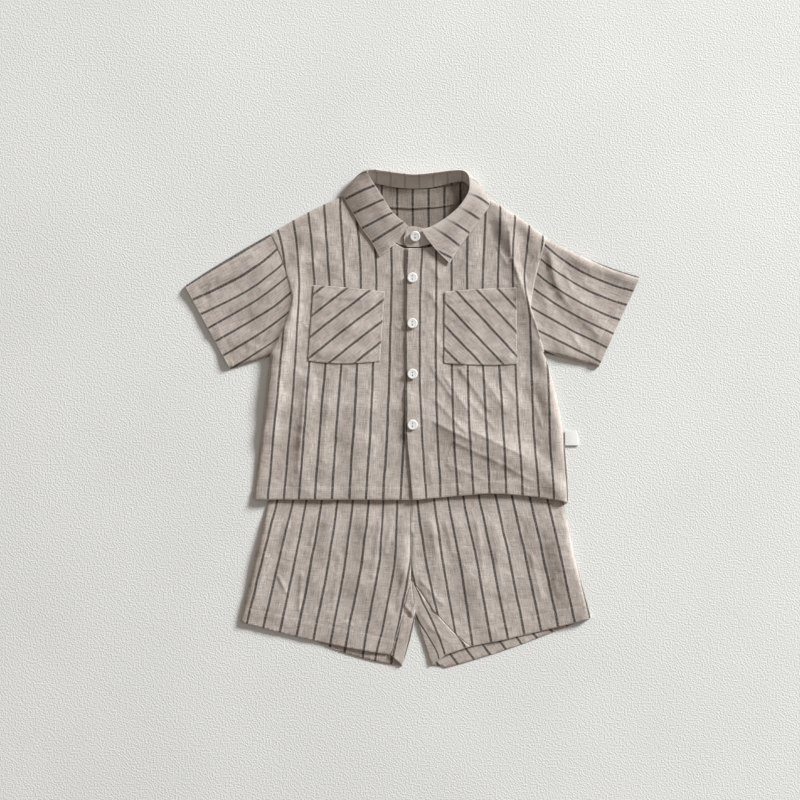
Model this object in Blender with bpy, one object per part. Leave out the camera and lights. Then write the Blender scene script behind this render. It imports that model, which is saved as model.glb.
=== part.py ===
"""A toddler's striped shirt laid on matching shorts, both flat on a surface.

The model is in metres with +Z up, the surface at z = 0 and +Y towards the collar, and its
origin lies under the middle of the outline. The wearer's right is on the -X side. Every
table and every size below is in millimetres, and MM turns them into metres when a piece is
made. Each cloth piece is a wall between two height fields, or a lofted wall at the collar
and the sleeves. Each layer lies a small gap above the one that it rests on.
"""

import math
from collections import namedtuple

import bmesh
import bpy
import numpy as np
from mathutils import Vector
from mathutils.geometry import delaunay_2d_cdt

MM = 0.001
WALL = 1.0  # thickness of the cloth
GAP = 0.3  # clearance from a layer to the one below
LAYER = WALL + GAP
SEAM = 0.4  # clearance between pieces that are sewn edge to edge
GRID = 13.0  # distance between a panel's inner points
EDGE_STEP = 10.0  # distance between the points of an outline
CLEAR_OF_LINES = 5.4  # the least distance from an inner point to an outline or a line
ROLL = 3.4  # width over which a front panel turns down to the surface at a side seam
ROLL_RIM = 1.4  # height of a panel's outermost rim at such a seam
MOST_PUFF = 3.3  # largest air gap under a puffed panel: beyond it, the wall thickens

CLOTH = (0.46, 0.40, 0.34, 1.0)
BUTTON_WHITE = (0.86, 0.85, 0.82, 1.0)
TAPE_WHITE = (0.88, 0.87, 0.84, 1.0)

# Corners of the cut pieces. "_r" is the wearer's right and "_l" the left.
SHIRT = {
    "neck_r": (-56.7, 251.4),
    "shoulder_r": (-155.7, 201.9),
    "armhole_r": (-130.9, 129.2),
    "underarm_r": (-156.8, 67.1),
    "hem_r": (-175.5, -89.7),
    "under_hem": (8.2, -90.2),
    "under_top": (9.4, 185.4),
    "neck_pit_r": (-9.4, 185.7),
    "neck_l": (68.6, 248.1),
    "neck_turn_l": (67.6, 227.0),
    "neck_pit_l": (12.7, 185.7),
    "lap_top": (-7.4, 185.6),
    "lap_low": (-8.2, -18.2),
    "lap_hem": (-0.6, -90.2),
    "hem_lift_l": (80.9, -83.1),
    "hem_l": (171.1, -93.0),
    "underarm_l": (144.7, 71.0),
    "armhole_l": (129.2, 121.6),
    "shoulder_l": (146.9, 197.5),
    "back_neck_l": (61.0, 260.0),
    "back_neck_r": (-46.8, 259.0),
    "back_hem_turn_l": (158.0, -88.8),
    "back_hem_l": (169.6, -95.6),
    "cuff_top_r": (-250.0, 144.7),
    "cuff_low_r": (-200.2, 53.4),
    "cuff_top_l": (250.0, 154.6),
    "cuff_low_l": (204.1, 55.0),
}
SHORTS = {
    "waist_r": (-105.0, -21.0),
    "waist_mid": (-1.7, -21.0),
    "waist_l": (104.0, -21.0),
    "side_r": (-159.0, -93.0),
    "side_l": (165.6, -93.0),
    "hem_side_r": (-189.8, -223.9),
    "hem_side_l": (196.8, -219.5),
    "crotch": (-1.7, -175.5),
    "crotch_low": (3.2, -220.0),
    "inseam_hem_r": (-23.7, -260.7),
    "inseam_hem_l": (63.3, -251.4),
    "fold_hem_r": (-11.1, -273.2),
    "fold_hem_l": (20.4, -272.5),
    "wrap_notch_l": (36.0, -260.5),
    "back_hem_dip_l": (36.0, -275.2),
    "back_hem_out_l": (156.8, -234.9),
    "back_hem_out_r": (-109.5, -244.8),
}

# One stretch of an outline, run anticlockwise. bow is how far its middle stands out.
# closed marks an edge where the upper layer turns down to the surface.
Edge = namedtuple("Edge", "start end bow closed")

FRONT_RIGHT = [
    Edge("neck_r", "shoulder_r", 3.0, True),
    Edge("shoulder_r", "armhole_r", -2.6, False),
    Edge("armhole_r", "underarm_r", -2.4, False),
    Edge("underarm_r", "hem_r", -0.6, True),
    Edge("hem_r", "under_hem", 0.0, False),
    Edge("under_hem", "under_top", 0.0, False),
    Edge("under_top", "neck_pit_r", 0.0, False),
    Edge("neck_pit_r", "neck_r", -10.0, False),
]
FRONT_LEFT = [
    Edge("neck_l", "neck_turn_l", -1.0, False),
    Edge("neck_turn_l", "neck_pit_l", -9.5, False),
    Edge("neck_pit_l", "lap_top", 0.0, False),
    Edge("lap_top", "lap_low", 0.0, False),
    Edge("lap_low", "lap_hem", -1.2, False),
    Edge("lap_hem", "hem_lift_l", 0.0, False),
    Edge("hem_lift_l", "hem_l", -2.2, False),
    Edge("hem_l", "underarm_l", 6.5, True),
    Edge("underarm_l", "armhole_l", 0.0, False),
    Edge("armhole_l", "shoulder_l", -1.8, False),
    Edge("shoulder_l", "neck_l", 2.5, True),
]
BACK = [
    Edge("neck_r", "shoulder_r", 3.0, True),
    Edge("shoulder_r", "armhole_r", -2.6, False),
    Edge("armhole_r", "underarm_r", -2.4, False),
    Edge("underarm_r", "hem_r", -0.6, True),
    Edge("hem_r", "hem_lift_l", 0.0, False),
    Edge("hem_lift_l", "back_hem_turn_l", -1.6, False),
    Edge("back_hem_turn_l", "back_hem_l", 0.0, False),
    Edge("back_hem_l", "underarm_l", 6.5, True),
    Edge("underarm_l", "armhole_l", 0.0, False),
    Edge("armhole_l", "shoulder_l", -1.8, False),
    Edge("shoulder_l", "neck_l", 2.5, True),
    Edge("neck_l", "back_neck_l", 0.0, False),
    Edge("back_neck_l", "back_neck_r", -8.6, False),
    Edge("back_neck_r", "neck_r", 0.0, False),
]
SHORTS_FRONT_RIGHT = [
    Edge("waist_r", "side_r", -3.0, True),
    Edge("side_r", "hem_side_r", 0.0, True),
    Edge("hem_side_r", "inseam_hem_r", 3.0, False),
    Edge("inseam_hem_r", "crotch", 1.2, False),
    Edge("crotch", "waist_mid", 0.8, False),
    Edge("waist_mid", "waist_r", 0.0, False),
]
SHORTS_FRONT_LEFT = [
    Edge("waist_mid", "crotch", -0.8, False),
    Edge("crotch", "inseam_hem_l", 5.0, False),
    Edge("inseam_hem_l", "hem_side_l", 1.8, False),
    Edge("hem_side_l", "side_l", -2.0, True),
    Edge("side_l", "waist_l", -3.0, True),
    Edge("waist_l", "waist_mid", 0.0, False),
]
SHORTS_BACK_RIGHT = [
    Edge("waist_r", "side_r", -3.0, True),
    Edge("side_r", "hem_side_r", 0.0, True),
    Edge("hem_side_r", "back_hem_out_r", 0.0, False),
    Edge("back_hem_out_r", "fold_hem_r", 4.0, False),
    Edge("fold_hem_r", "crotch_low", 1.0, False),
    Edge("crotch_low", "waist_mid", 0.8, False),
    Edge("waist_mid", "waist_r", 0.0, False),
]
SHORTS_BACK_LEFT = [
    Edge("waist_mid", "crotch_low", -0.8, False),
    Edge("crotch_low", "fold_hem_l", 0.0, False),
    Edge("fold_hem_l", "back_hem_dip_l", -1.0, False),
    Edge("back_hem_dip_l", "back_hem_out_l", 2.0, False),
    Edge("back_hem_out_l", "hem_side_l", 0.0, False),
    Edge("hem_side_l", "side_l", -2.0, True),
    Edge("side_l", "waist_l", -3.0, True),
    Edge("waist_l", "waist_mid", 0.0, False),
]
# The part of each shorts back that rolls round the inner leg and lies on top.
WRAP_RIGHT = [
    Edge("crotch_low", "crotch", 0.0, False),
    Edge("crotch", "inseam_hem_r", -1.2, False),
    Edge("inseam_hem_r", "fold_hem_r", 0.0, False),
    Edge("fold_hem_r", "crotch_low", 1.0, False),
]
WRAP_LEFT = [
    Edge("crotch_low", "fold_hem_l", 0.0, False),
    Edge("fold_hem_l", "wrap_notch_l", 0.0, False),
    Edge("wrap_notch_l", "inseam_hem_l", 0.0, False),
    Edge("inseam_hem_l", "crotch", -5.0, False),
    Edge("crotch", "crotch_low", 0.0, False),
]

# Chest pockets: four corners each, and how far the bottom edge dips.
Pocket = namedtuple("Pocket", "name top_in top_out low_out low_in dip")
POCKETS = [
    Pocket("pocket_right", (-30.6, 138.1), (-108.4, 145.2), (-114.7, 62.7), (-36.0, 62.2), 3.0),
    Pocket("pocket_left", (113.4, 142.5), (35.4, 138.1), (34.7, 60.0), (115.0, 58.9), 1.5),
]

# Soft folds: a ridge from start to end with a half width and a height. All are above zero
# for a ridge and below zero for a trough.
Fold = namedtuple("Fold", "start_x start_y end_x end_y half_width height")
SHIRT_FOLDS = [
    Fold(-124, 176, -130, 120, 7, 1.4),
    Fold(-130, 120, -140, 72, 7, 1.7),
    Fold(-142, 68, -156, -10, 7, 1.2),
    Fold(-112, 44, -122, -74, 10, 1.7),
    Fold(-88, 52, -97, -64, 10, 1.3),
    Fold(-58, 52, -66, -82, 12, 1.1),
    Fold(-4, 150, -4, -60, 9, 1.0),
    Fold(-86, 222, -92, 160, 12, 1.1),
    Fold(101, 224, 107, 192, 9, 1.3),
    Fold(107, 192, 115, 152, 8, 1.9),
    Fold(115, 152, 131, 104, 8, 2.2),
    Fold(131, 104, 146, 54, 8, 1.9),
    Fold(62, 214, 64, 158, 11, 0.8),
    Fold(26, 62, 66, -4, 9, 1.1),
    Fold(46, 68, 104, 4, 10, 1.0),
    Fold(27, -4, 128, -52, 14, 2.4),
    Fold(30, -40, 110, -80, 14, 0.8),
    Fold(140, -12, 146, -84, 10, 1.4),
]
SLEEVE_FOLDS = [
    Fold(-160, 178, -226, 146, 11, 1.4),
    Fold(-148, 140, -215, 108, 12, 1.1),
    Fold(-158, 105, -205, 76, 10, 1.3),
    Fold(150, 178, 166, 132, 7, 1.8),
    Fold(172, 176, 236, 152, 6, 1.3),
    Fold(162, 148, 218, 82, 13, 1.7),
    Fold(142, 140, 152, 108, 7, 1.1),
    Fold(152, 84, 196, 68, 10, 0.9),
]
SHORTS_FOLDS = [
    Fold(-128, -100, -147, -222, 10, 1.6),
    Fold(-88, -98, -98, -160, 9, 1.5),
    Fold(-100, -160, -114, -236, 11, 0.9),
    Fold(-50, -98, -56, -160, 9, 1.6),
    Fold(-60, -160, -72, -244, 11, 0.9),
    Fold(-10, -98, -9, -176, 9, 1.6),
    Fold(14, -98, 34, -190, 8, 1.0),
    Fold(44, -98, 56, -160, 9, 1.4),
    Fold(60, -160, 82, -236, 11, 1.0),
    Fold(86, -98, 98, -160, 9, 1.3),
    Fold(102, -160, 120, -230, 11, 0.9),
    Fold(122, -98, 134, -160, 9, 1.0),
    Fold(150, -102, 170, -204, 9, 1.3),
]
SIDE_PUFF = 1.6  # extra height of the soft roll inside a closed edge
SIDE_PUFF_AT = 7.0  # its distance from that edge

# What the shirt lies on: the shorts with their waistband, and the turned-under collar.
SHORTS_LEVEL = 2.8  # height that clears the shorts under the shirt
SHORTS_UNDER_SHIRT = [
    (-107, 6), (-107, -21), (-159, -93), (-175, -160), (184, -160), (165.6, -93), (106, -21), (106, 6)
]
SIDE_DROP = (0.0, 20.0)  # where the shirt comes down beside the shorts, from their edge
WAIST_DROP = 34.0  # the same beyond the waistband
WAISTBAND_TOP = 4.0
COLLAR_UNDER = [(-64, 242), (66, 242), (66, 275), (-64, 275)]
COLLAR_DROP = 28.0
COLLAR_PRESS = (-3.0, 15.0)  # the front lies smooth under the leaf, and puffs up beyond it

# The collar, a section for each row. seam is where the stand is sewn to the body, top_z the
# stand's height at its upper edge, roll the fold of the leaf, out the middle of the leaf
# and edge its outer edge. Sections run from the right front round the back to the left.
Section = namedtuple("Section", "seam_x seam_y seam_z top_z roll_x roll_y roll_z out_x out_y out_z edge_x edge_y edge_z")
COLLAR = [
    Section(-8.8, 187.4, 1.8, 3.6, -4.3, 209.0, 7.6, -20.4, 189.8, 6.2, -36.4, 176.8, 3.6),
    Section(-21.4, 194.2, 2.1, 5.0, -10.1, 213.9, 8.2, -26.9, 203.4, 7.0, -44.6, 192.5, 3.6),
    Section(-31.9, 204.6, 2.3, 6.6, -22.0, 224.4, 9.0, -38.4, 216.2, 7.7, -55.6, 207.4, 3.7),
    Section(-41.8, 218.4, 2.6, 8.4, -31.4, 238.7, 10.2, -47.4, 231.6, 8.6, -65.0, 223.9, 4.1),
    Section(-49.5, 232.7, 3.0, 10.0, -41.3, 253.6, 11.6, -57.0, 247.2, 9.6, -73.9, 239.3, 4.6),
    Section(-53.0, 245.3, 3.3, 11.4, -47.0, 262.9, 12.9, -62.4, 257.0, 9.4, -75.6, 247.6, 3.4),
    Section(-52.0, 253.6, 3.3, 12.3, -49.6, 268.3, 13.9, -60.6, 264.2, 8.2, -67.4, 255.8, 1.4),
    Section(-47.0, 257.0, 3.3, 12.6, -45.5, 270.2, 14.2, -52.0, 269.6, 4.8, -57.0, 257.0, -1.0),
    Section(-37.0, 256.3, 3.3, 12.6, -36.3, 269.6, 14.2, -38.6, 267.6, 3.4, -40.0, 250.4, -2.0),
    Section(-19.3, 252.9, 3.3, 12.4, -18.7, 267.0, 14.0, -19.0, 264.6, 2.8, -19.0, 246.0, -2.0),
    Section(0.6, 251.4, 3.3, 12.2, 0.6, 265.1, 13.8, 0.6, 262.6, 2.8, 0.6, 244.0, -2.0),
    Section(21.4, 252.7, 3.3, 12.4, 20.4, 266.6, 14.0, 20.9, 264.2, 2.8, 21.4, 245.6, -2.0),
    Section(41.2, 257.4, 3.3, 12.6, 40.2, 269.2, 14.2, 41.4, 267.2, 3.4, 43.6, 249.4, -2.0),
    Section(54.0, 259.4, 3.3, 12.6, 54.0, 269.6, 14.2, 58.0, 268.6, 4.8, 61.0, 256.6, -1.0),
    Section(61.8, 254.4, 3.4, 12.4, 60.4, 265.5, 13.9, 67.6, 260.8, 8.4, 73.0, 252.6, 1.2),
    Section(65.0, 245.0, 3.5, 11.8, 62.4, 256.4, 13.3, 73.0, 252.0, 9.4, 81.0, 245.0, 3.4),
    Section(64.4, 233.6, 3.5, 10.8, 60.6, 245.0, 12.2, 73.2, 240.0, 9.4, 84.0, 233.0, 4.8),
    Section(57.9, 220.4, 3.4, 9.4, 50.6, 230.2, 10.8, 62.6, 224.4, 8.8, 73.6, 217.3, 4.4),
    Section(46.3, 207.2, 3.3, 7.9, 35.8, 217.8, 9.2, 49.8, 210.4, 8.2, 62.7, 202.4, 4.0),
    Section(32.4, 196.4, 3.3, 6.8, 20.9, 209.0, 8.6, 36.8, 199.2, 7.6, 51.7, 188.1, 4.0),
    Section(16.0, 188.0, 3.4, 6.4, 10.0, 205.7, 8.4, 22.0, 188.2, 7.2, 40.9, 169.6, 4.2),
]
# The stand's ends beyond the leaf: seam and top points. The right one lies under the left.
Tab = namedtuple("Tab", "seam_x seam_y seam_z top_x top_y top_z")
TAB_UNDER = [
    Tab(7.0, 187.4, 1.8, 6.6, 205.4, 2.7),
    Tab(-0.6, 187.4, 1.8, -0.6, 206.6, 3.0),
]
TAB_OVER = [
    Tab(7.2, 187.3, 3.2, 5.5, 209.0, 6.3),
    Tab(-1.6, 187.3, 3.2, -1.6, 209.6, 6.1),
    Tab(-6.6, 187.3, 3.2, -6.6, 207.0, 5.8),
    Tab(-9.4, 187.3, 3.2, -9.5, 200.8, 5.0),
]
LEAF_ROWS = 7  # points across the leaf
STAND_ROWS = 4
SECTION_STEPS = 2  # points from one section to the next
ROLL_CLEAR = 1.2  # from the stand's upper edge to the leaf's fold

# The facing inside the back neck.
FACING_SIDES = [(-36.0, 232.0), (50.0, 234.4)]
FACING_DIP = 3.6

BUTTONS = [
    # x, y of each centre, from the neck down
    (2.8, 198.6),
    (-0.3, 153.5),
    (-0.3, 103.4),
    (-0.1, 47.9),
    (-0.1, -7.9),
]
BUTTON_RADIUS = 5.6
BUTTON_THICK = 2.0
BUTTON_RIM = 1.1  # width of its raised rim
BUTTON_DISH = 0.5  # depth of its middle
BUTTON_SIDES = 20

LABEL_SIZE = (14.4, 15.3, 1.2)
LABEL_TOP = -15.2  # its upper edge
LABEL_LEAF = 0.45  # thickness of each half of the folded tape

WAISTBAND_WALL = 1.1
FOLD_TURN = 0.9  # how far the round turn of a shorts leg stands out from its fold
TURN_LEAST = 0.3  # the same at the crotch, where the two legs meet
ARMHOLE_START = (0.0, 0.05, 0.2, 0.42, 0.7, 1.0)  # fractions from a fold to the middle of the armhole
ARMHOLE_END = (0.0, 0.3, 0.58, 0.8, 0.95, 1.0)  # and from there to the other fold
SLEEVE_SECTIONS = 9
SLEEVE_HEIGHT = 2.3
FOLD_EDGE = 0.8  # height of the outermost line of a sleeve's fold


def clear_scene():
    for existing in list(bpy.data.objects):
        bpy.data.objects.remove(existing, do_unlink=True)


def material(name, colour, roughness):
    made = bpy.data.materials.new(name)
    made.use_nodes = True
    shader = made.node_tree.nodes["Principled BSDF"]
    shader.inputs["Base Color"].default_value = colour
    shader.inputs["Roughness"].default_value = roughness
    shader.inputs["Metallic"].default_value = 0.0
    return made


def smooth(low, high, value):
    """0 at low and 1 at high, with level ends."""
    part = np.clip((value - low) / (high - low), 0.0, 1.0)
    return part * part * (3.0 - 2.0 * part)


def bowed(start, end, bow, fractions):
    """Points on a shallow arc; bow is to the right of the way from start to end."""
    start = np.array(start, float)
    way = np.array(end, float) - start
    side = np.array((way[1], -way[0])) / np.hypot(*way)
    fractions = np.asarray(fractions, float)[:, None]
    return start + way * fractions + side * 4.0 * bow * fractions * (1.0 - fractions)


def edge_points(marks, edge, edges):
    """An outline's points along one edge, without its last one.

    An open edge has a point a roll's width from each closed edge that it meets.
    """
    start, end = marks[edge.start], marks[edge.end]
    place = edge.start.split("_")[0]
    if place == "armhole":
        fractions = ARMHOLE_END
    elif place in ("shoulder", "underarm") and not edge.closed:
        fractions = ARMHOLE_START
    else:
        length = math.dist(start, end)
        fractions = list(np.linspace(0.0, 1.0, max(2, round(length / EDGE_STEP) + 1)))
        near = 1.15 * ROLL / length
        if not edge.closed and any(other.closed and other.end == edge.start for other in edges):
            fractions.insert(1, near)
        if not edge.closed and any(other.closed and other.start == edge.end for other in edges):
            fractions.insert(-1, 1.0 - near)
    return bowed(start, end, edge.bow, fractions)[:-1]


def outline(marks, edges):
    """The outline's points, and for the stretch after each point whether it is closed."""
    runs = [edge_points(marks, edge, edges) for edge in edges]
    closed = [edge.closed for edge, run in zip(edges, runs) for _ in run]
    return np.vstack(runs), np.array(closed)


def inset(points, amounts):
    """The outline with each stretch moved inwards by its own amount."""
    ahead = np.roll(points, -1, axis=0) - points
    normal = np.column_stack([-ahead[:, 1], ahead[:, 0]]) / np.hypot(*ahead.T)[:, None]
    moved = points.copy()
    for i in range(len(points)):
        sides = np.array([normal[i - 1], normal[i]])
        wanted = np.array([amounts[i - 1], amounts[i]])
        if abs(np.linalg.det(sides)) > 0.3:
            moved[i] += np.linalg.solve(sides, wanted)
        else:
            middle = sides.sum(axis=0) / np.hypot(*sides.sum(axis=0))
            moved[i] += middle * wanted.max()
    return moved


def distance(points, starts, ends):
    """Distance from each point to the nearest of the stretches."""
    nearest = np.full(len(points), np.inf)
    for start, end in zip(starts, ends):
        way = end - start
        along = np.clip((points - start) @ way / max(way @ way, 1e-9), 0.0, 1.0)
        nearest = np.minimum(nearest, np.hypot(*(points - start - along[:, None] * way).T))
    return nearest


def inside(points, polygon):
    result = np.zeros(len(points), bool)
    for (ax, ay), (bx, by) in zip(polygon, np.roll(polygon, -1, axis=0)):
        spans = (ay > points[:, 1]) != (by > points[:, 1])
        if ay != by:
            result ^= spans & (points[:, 0] < (bx - ax) * (points[:, 1] - ay) / (by - ay) + ax)
    return result


def signed_distance(points, polygon):
    """Distance to a polygon, below zero inside it."""
    polygon = np.array(polygon, float)
    away = distance(points, polygon, np.roll(polygon, -1, axis=0))
    return np.where(inside(points, polygon), -away, away)


def lattice(polygon, keep=None):
    """Points of one triangular lattice, the same for every panel, that lie in a polygon."""
    low, high = polygon.min(axis=0), polygon.max(axis=0)
    row_height = GRID * math.sqrt(3) / 2
    found = []
    for row in range(math.floor(low[1] / row_height), math.ceil(high[1] / row_height) + 1):
        shift = GRID / 2 if row % 2 else 0.0
        for column in range(math.floor(low[0] / GRID) - 1, math.ceil(high[0] / GRID) + 1):
            found.append((column * GRID + shift, row * row_height, row % 2 == 0 and column % 2 == 0))
    found = np.array(found)
    points, coarse = found[:, :2], found[:, 2] > 0
    wanted = inside(points, polygon)
    if keep is not None:
        wanted &= coarse | keep(points)
    return points[wanted]


def triangulate(border, lines=(), keep=None):
    """A flat triangulation of an outline that keeps the lines inside it as edges."""
    lines = [np.vstack([border, border[:1]]), *lines]
    inner = lattice(border, keep)
    for line in lines:
        inner = inner[distance(inner, line[:-1], line[1:]) > CLEAR_OF_LINES]
    points = np.vstack([*lines, inner])
    edges = []
    first = 0
    for line in lines:
        edges += [(first + i, first + i + 1) for i in range(len(line) - 1)]
        first += len(line)
    made = delaunay_2d_cdt([Vector(p) for p in points], edges, [], 1, 1e-3)
    flat = np.array([tuple(v) for v in made[0]])
    triangles = []
    for a, b, c in made[2]:
        turn = np.cross(flat[b] - flat[a], flat[c] - flat[a])
        if abs(turn) > 1e-3:
            triangles.append((a, b, c) if turn > 0 else (a, c, b))
    return flat, triangles


def closed_runs(points, closed):
    """The inner ring beside each closed stretch, from open edge to open edge."""
    ring = inset(points, np.where(closed, ROLL, 0.0))
    count = len(points)
    runs = []
    for start in [i for i in range(count) if closed[i] and not closed[i - 1]]:
        length = 1
        while closed[(start + length) % count]:
            length += 1
        middle = ring[[(start + i) % count for i in range(1, length)]]
        runs.append(np.vstack([points[start - 1], middle, points[(start + length + 1) % count]]))
    return runs


def inner_border(points, closed, width):
    """The outline moved inwards by a width along its closed stretches.

    An open stretch that carries on in nearly the same direction is moved with them.
    """
    amounts = np.where(closed, width, 0.0)
    ahead = np.roll(points, -1, axis=0) - points
    ahead /= np.hypot(*ahead.T)[:, None]
    for i in range(len(points)):
        straight = abs(np.cross(ahead[i - 1], ahead[i])) < 0.8
        if straight and closed[i] and not closed[i - 1]:
            amounts[i - 1] = 1.6 * width
        if straight and closed[i - 1] and not closed[i]:
            amounts[i] = 1.6 * width
    return inset(points, amounts)


def rim_edges(triangles):
    """The directed edges that only one triangle has."""
    sides = [(t[i], t[(i + 1) % 3]) for t in triangles for i in range(3)]
    known = set(sides)
    return [(a, b) for a, b in sides if (b, a) not in known]


def make(name, points, faces, finish, root):
    """An object of these points in millimetres, its faces turned outwards."""
    mesh = bpy.data.meshes.new(name)
    mesh.from_pydata([tuple(p * MM) for p in np.asarray(points, float)], [], faces)
    work = bmesh.new()
    work.from_mesh(mesh)
    bmesh.ops.recalc_face_normals(work, faces=work.faces)
    work.to_mesh(mesh)
    work.free()
    mesh.shade_smooth()
    mesh.set_sharp_from_angle(angle=math.radians(40))
    mesh.materials.append(finish)
    made = bpy.data.objects.new(name, mesh)
    bpy.context.scene.collection.objects.link(made)
    made.parent = root
    return made


def slab_faces(triangles, low, high):
    """Faces of a wall between points low + i and high + i, without its rim."""
    faces = [(low + c, low + b, low + a) for a, b, c in triangles]
    return faces + [(high + a, high + b, high + c) for a, b, c in triangles]


def slab(name, flat, triangles, low, high, finish, root):
    """A cloth wall between the heights low and high over a flat triangulation."""
    flat, triangles, low, high = trimmed(flat, triangles, low, high)
    count = len(flat)
    points = np.vstack([np.column_stack([flat, low]), np.column_stack([flat, high])])
    faces = slab_faces(triangles, 0, count)
    faces += [(a, b, b + count, a + count) for a, b in rim_edges(triangles)]
    return make(name, points, faces, finish, root)


def trimmed(flat, triangles, low, high):
    used = sorted({i for t in triangles for i in t})
    number = {old: new for new, old in enumerate(used)}
    renamed = [tuple(number[i] for i in t) for t in triangles]
    return flat[used], renamed, np.asarray(low)[used], np.asarray(high)[used]


def folded_slab(name, under, over, fold, finish, root):
    """Two walls, one above the other, joined by a round turn along the fold that they share."""
    points = []
    sheets = []
    rows = []
    first = 0
    for flat, triangles, low, high in (under, over):
        count = len(flat)
        points += [np.column_stack([flat, low]), np.column_stack([flat, high])]
        sheets.append((triangles, first, first + count))
        rows.append([int(np.argmin(np.hypot(*(flat - p).T))) for p in fold])
        first += 2 * count
    points = np.vstack(points)
    faces = []
    for (triangles, low, high), row in zip(sheets, rows):
        faces += slab_faces(triangles, low, high)
        joined = {frozenset(pair) for pair in zip(row, row[1:])}
        for a, b in rim_edges(triangles):
            if frozenset((a, b)) not in joined:
                faces.append((low + a, low + b, high + b, high + a))
    (_, under_low, under_high), (_, over_low, over_high) = sheets
    ahead = np.gradient(fold, axis=0)
    side = np.column_stack([ahead[:, 1], -ahead[:, 0]]) / np.hypot(*ahead.T)[:, None]
    from_crotch = np.hypot(*(fold - SHORTS["crotch_low"]).T)
    reach = TURN_LEAST + (FOLD_TURN - TURN_LEAST) * smooth(0.0, 18.0, from_crotch)
    rings = []
    turned = []
    for i, (lower, upper) in enumerate(zip(*rows)):
        bottom, top = points[under_low + lower, 2], points[over_high + upper, 2]
        place = fold[i] + side[i] * reach[i]
        outer = len(points) + len(turned)
        turned += [(*place, bottom + 0.7 * (top - bottom)), (*place, bottom + 0.3 * (top - bottom))]
        rings.append(
            [under_low + lower, under_high + lower, over_low + upper, over_high + upper, outer, outer + 1]
        )
    for ring, after in zip(rings, rings[1:]):
        for k in (1, 3, 4, 5):
            j = (k + 1) % 6
            faces.append((ring[k], ring[j], after[j], after[k]))
    faces += [tuple(rings[0]), tuple(rings[-1])]
    return make(name, np.vstack([points, turned]), faces, finish, root)


def lofted_wall(name, grid, finish, root):
    """A wall of the cloth's thickness along a grid of points, rows by columns."""
    along = np.gradient(grid, axis=0)
    across = np.gradient(grid, axis=1)
    normal = np.cross(along, across)
    normal /= np.linalg.norm(normal, axis=2)[:, :, None]
    rows, columns = grid.shape[:2]
    count = rows * columns
    points = np.vstack([(grid + side * normal * WALL / 2).reshape(-1, 3) for side in (1, -1)])
    points[:, 2] = np.maximum(points[:, 2], 0.0)
    number = np.arange(count).reshape(rows, columns)
    faces = []
    for r in range(rows - 1):
        for c in range(columns - 1):
            quad = (number[r, c], number[r + 1, c], number[r + 1, c + 1], number[r, c + 1])
            faces += [tuple(int(i) for i in quad), tuple(int(i) + count for i in quad[::-1])]
    border = [*number[0, :], *number[1:, -1], *number[-1, -2::-1], *number[-2:0:-1, 0]]
    for a, b in zip(border, border[1:] + border[:1]):
        faces.append((int(a), int(b), int(b) + count, int(a) + count))
    return make(name, points, faces, finish, root)


def tube(name, outer, inner, finish, root):
    """A wall between two stacks of rings, open at both ends."""
    rings, size = outer.shape[:2]
    count = rings * size
    points = np.vstack([outer.reshape(-1, 3), inner.reshape(-1, 3)])
    faces = []
    for r in range(rings - 1):
        for k in range(size):
            j = (k + 1) % size
            quad = (r * size + k, r * size + j, (r + 1) * size + j, (r + 1) * size + k)
            faces += [quad, tuple(i + count for i in quad[::-1])]
    for r in (0, rings - 1):
        for k in range(size):
            j = (k + 1) % size
            faces.append((r * size + k, r * size + j, r * size + j + count, r * size + k + count))
    return make(name, points, faces, finish, root)


def fold_height(points, folds):
    """Summed height of the soft folds at each point."""
    total = np.zeros(len(points))
    for fold in folds:
        start = np.array((fold.start_x, fold.start_y), float)
        end = np.array((fold.end_x, fold.end_y), float)
        way = end - start
        length = np.hypot(*way)
        along = (points - start) @ way / length
        aside = np.abs((points - start) @ np.array((-way[1], way[0]))) / length
        fade = smooth(-fold.half_width, fold.half_width, along)
        fade = fade * smooth(-fold.half_width, fold.half_width, length - along)
        total += fold.height * np.exp(-((aside / fold.half_width) ** 2)) * fade
    return total


def shirt_support(points):
    """Height of what the shirt lies on."""
    away = signed_distance(points, SHORTS_UNDER_SHIRT)
    beyond_waist = smooth(-50.0, 0.0, points[:, 1])
    reach = SIDE_DROP[1] + (WAIST_DROP - SIDE_DROP[1]) * beyond_waist
    shorts = SHORTS_LEVEL * (1.0 - smooth(0.0, 1.0, (away - SIDE_DROP[0]) / (reach - SIDE_DROP[0])))
    collar = signed_distance(points, COLLAR_UNDER)
    return shorts + LAYER * (1.0 - smooth(0.0, COLLAR_DROP, collar))


def support_slopes(points):
    """Whether the shirt comes down at a point, so that its back needs close points there."""
    return (shirt_support(points) > 0.01) & (signed_distance(points, SHORTS_UNDER_SHIRT) > -1.2 * GRID)


def side_puff(away):
    """The soft roll beside a closed edge."""
    part = away / SIDE_PUFF_AT
    return SIDE_PUFF * part * np.exp(1.0 - part)


def lap_height(points):
    """How much higher the left front lies where it laps over the right one."""
    in_lap = 1.0 - smooth(13.0, 40.0, points[:, 0])
    return LAYER * in_lap


def upper_layer(points, base, puff, away):
    """Bottom and top of a puffed panel that turns down to the surface at its closed edges."""
    turn = np.clip(away / ROLL, 0.0, 1.0)
    low = base + np.minimum(puff, MOST_PUFF)
    high = base + puff + WALL
    return low * turn, ROLL_RIM + (high - ROLL_RIM) * turn


def closed_stretches(points, closed):
    ends = np.roll(points, -1, axis=0)
    return points[closed], ends[closed]


def shirt_puff(points, away):
    leaf = [(row.edge_x, row.edge_y) for row in COLLAR]
    free = smooth(*COLLAR_PRESS, signed_distance(points, leaf))
    return (fold_height(points, SHIRT_FOLDS) + side_puff(away)) * free


def front_heights(points, stretches, lapped):
    away = distance(points, *stretches)
    base = shirt_support(points) + LAYER
    if lapped:
        base = base + lap_height(points)
    return upper_layer(points, base, shirt_puff(points, away), away)


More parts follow.
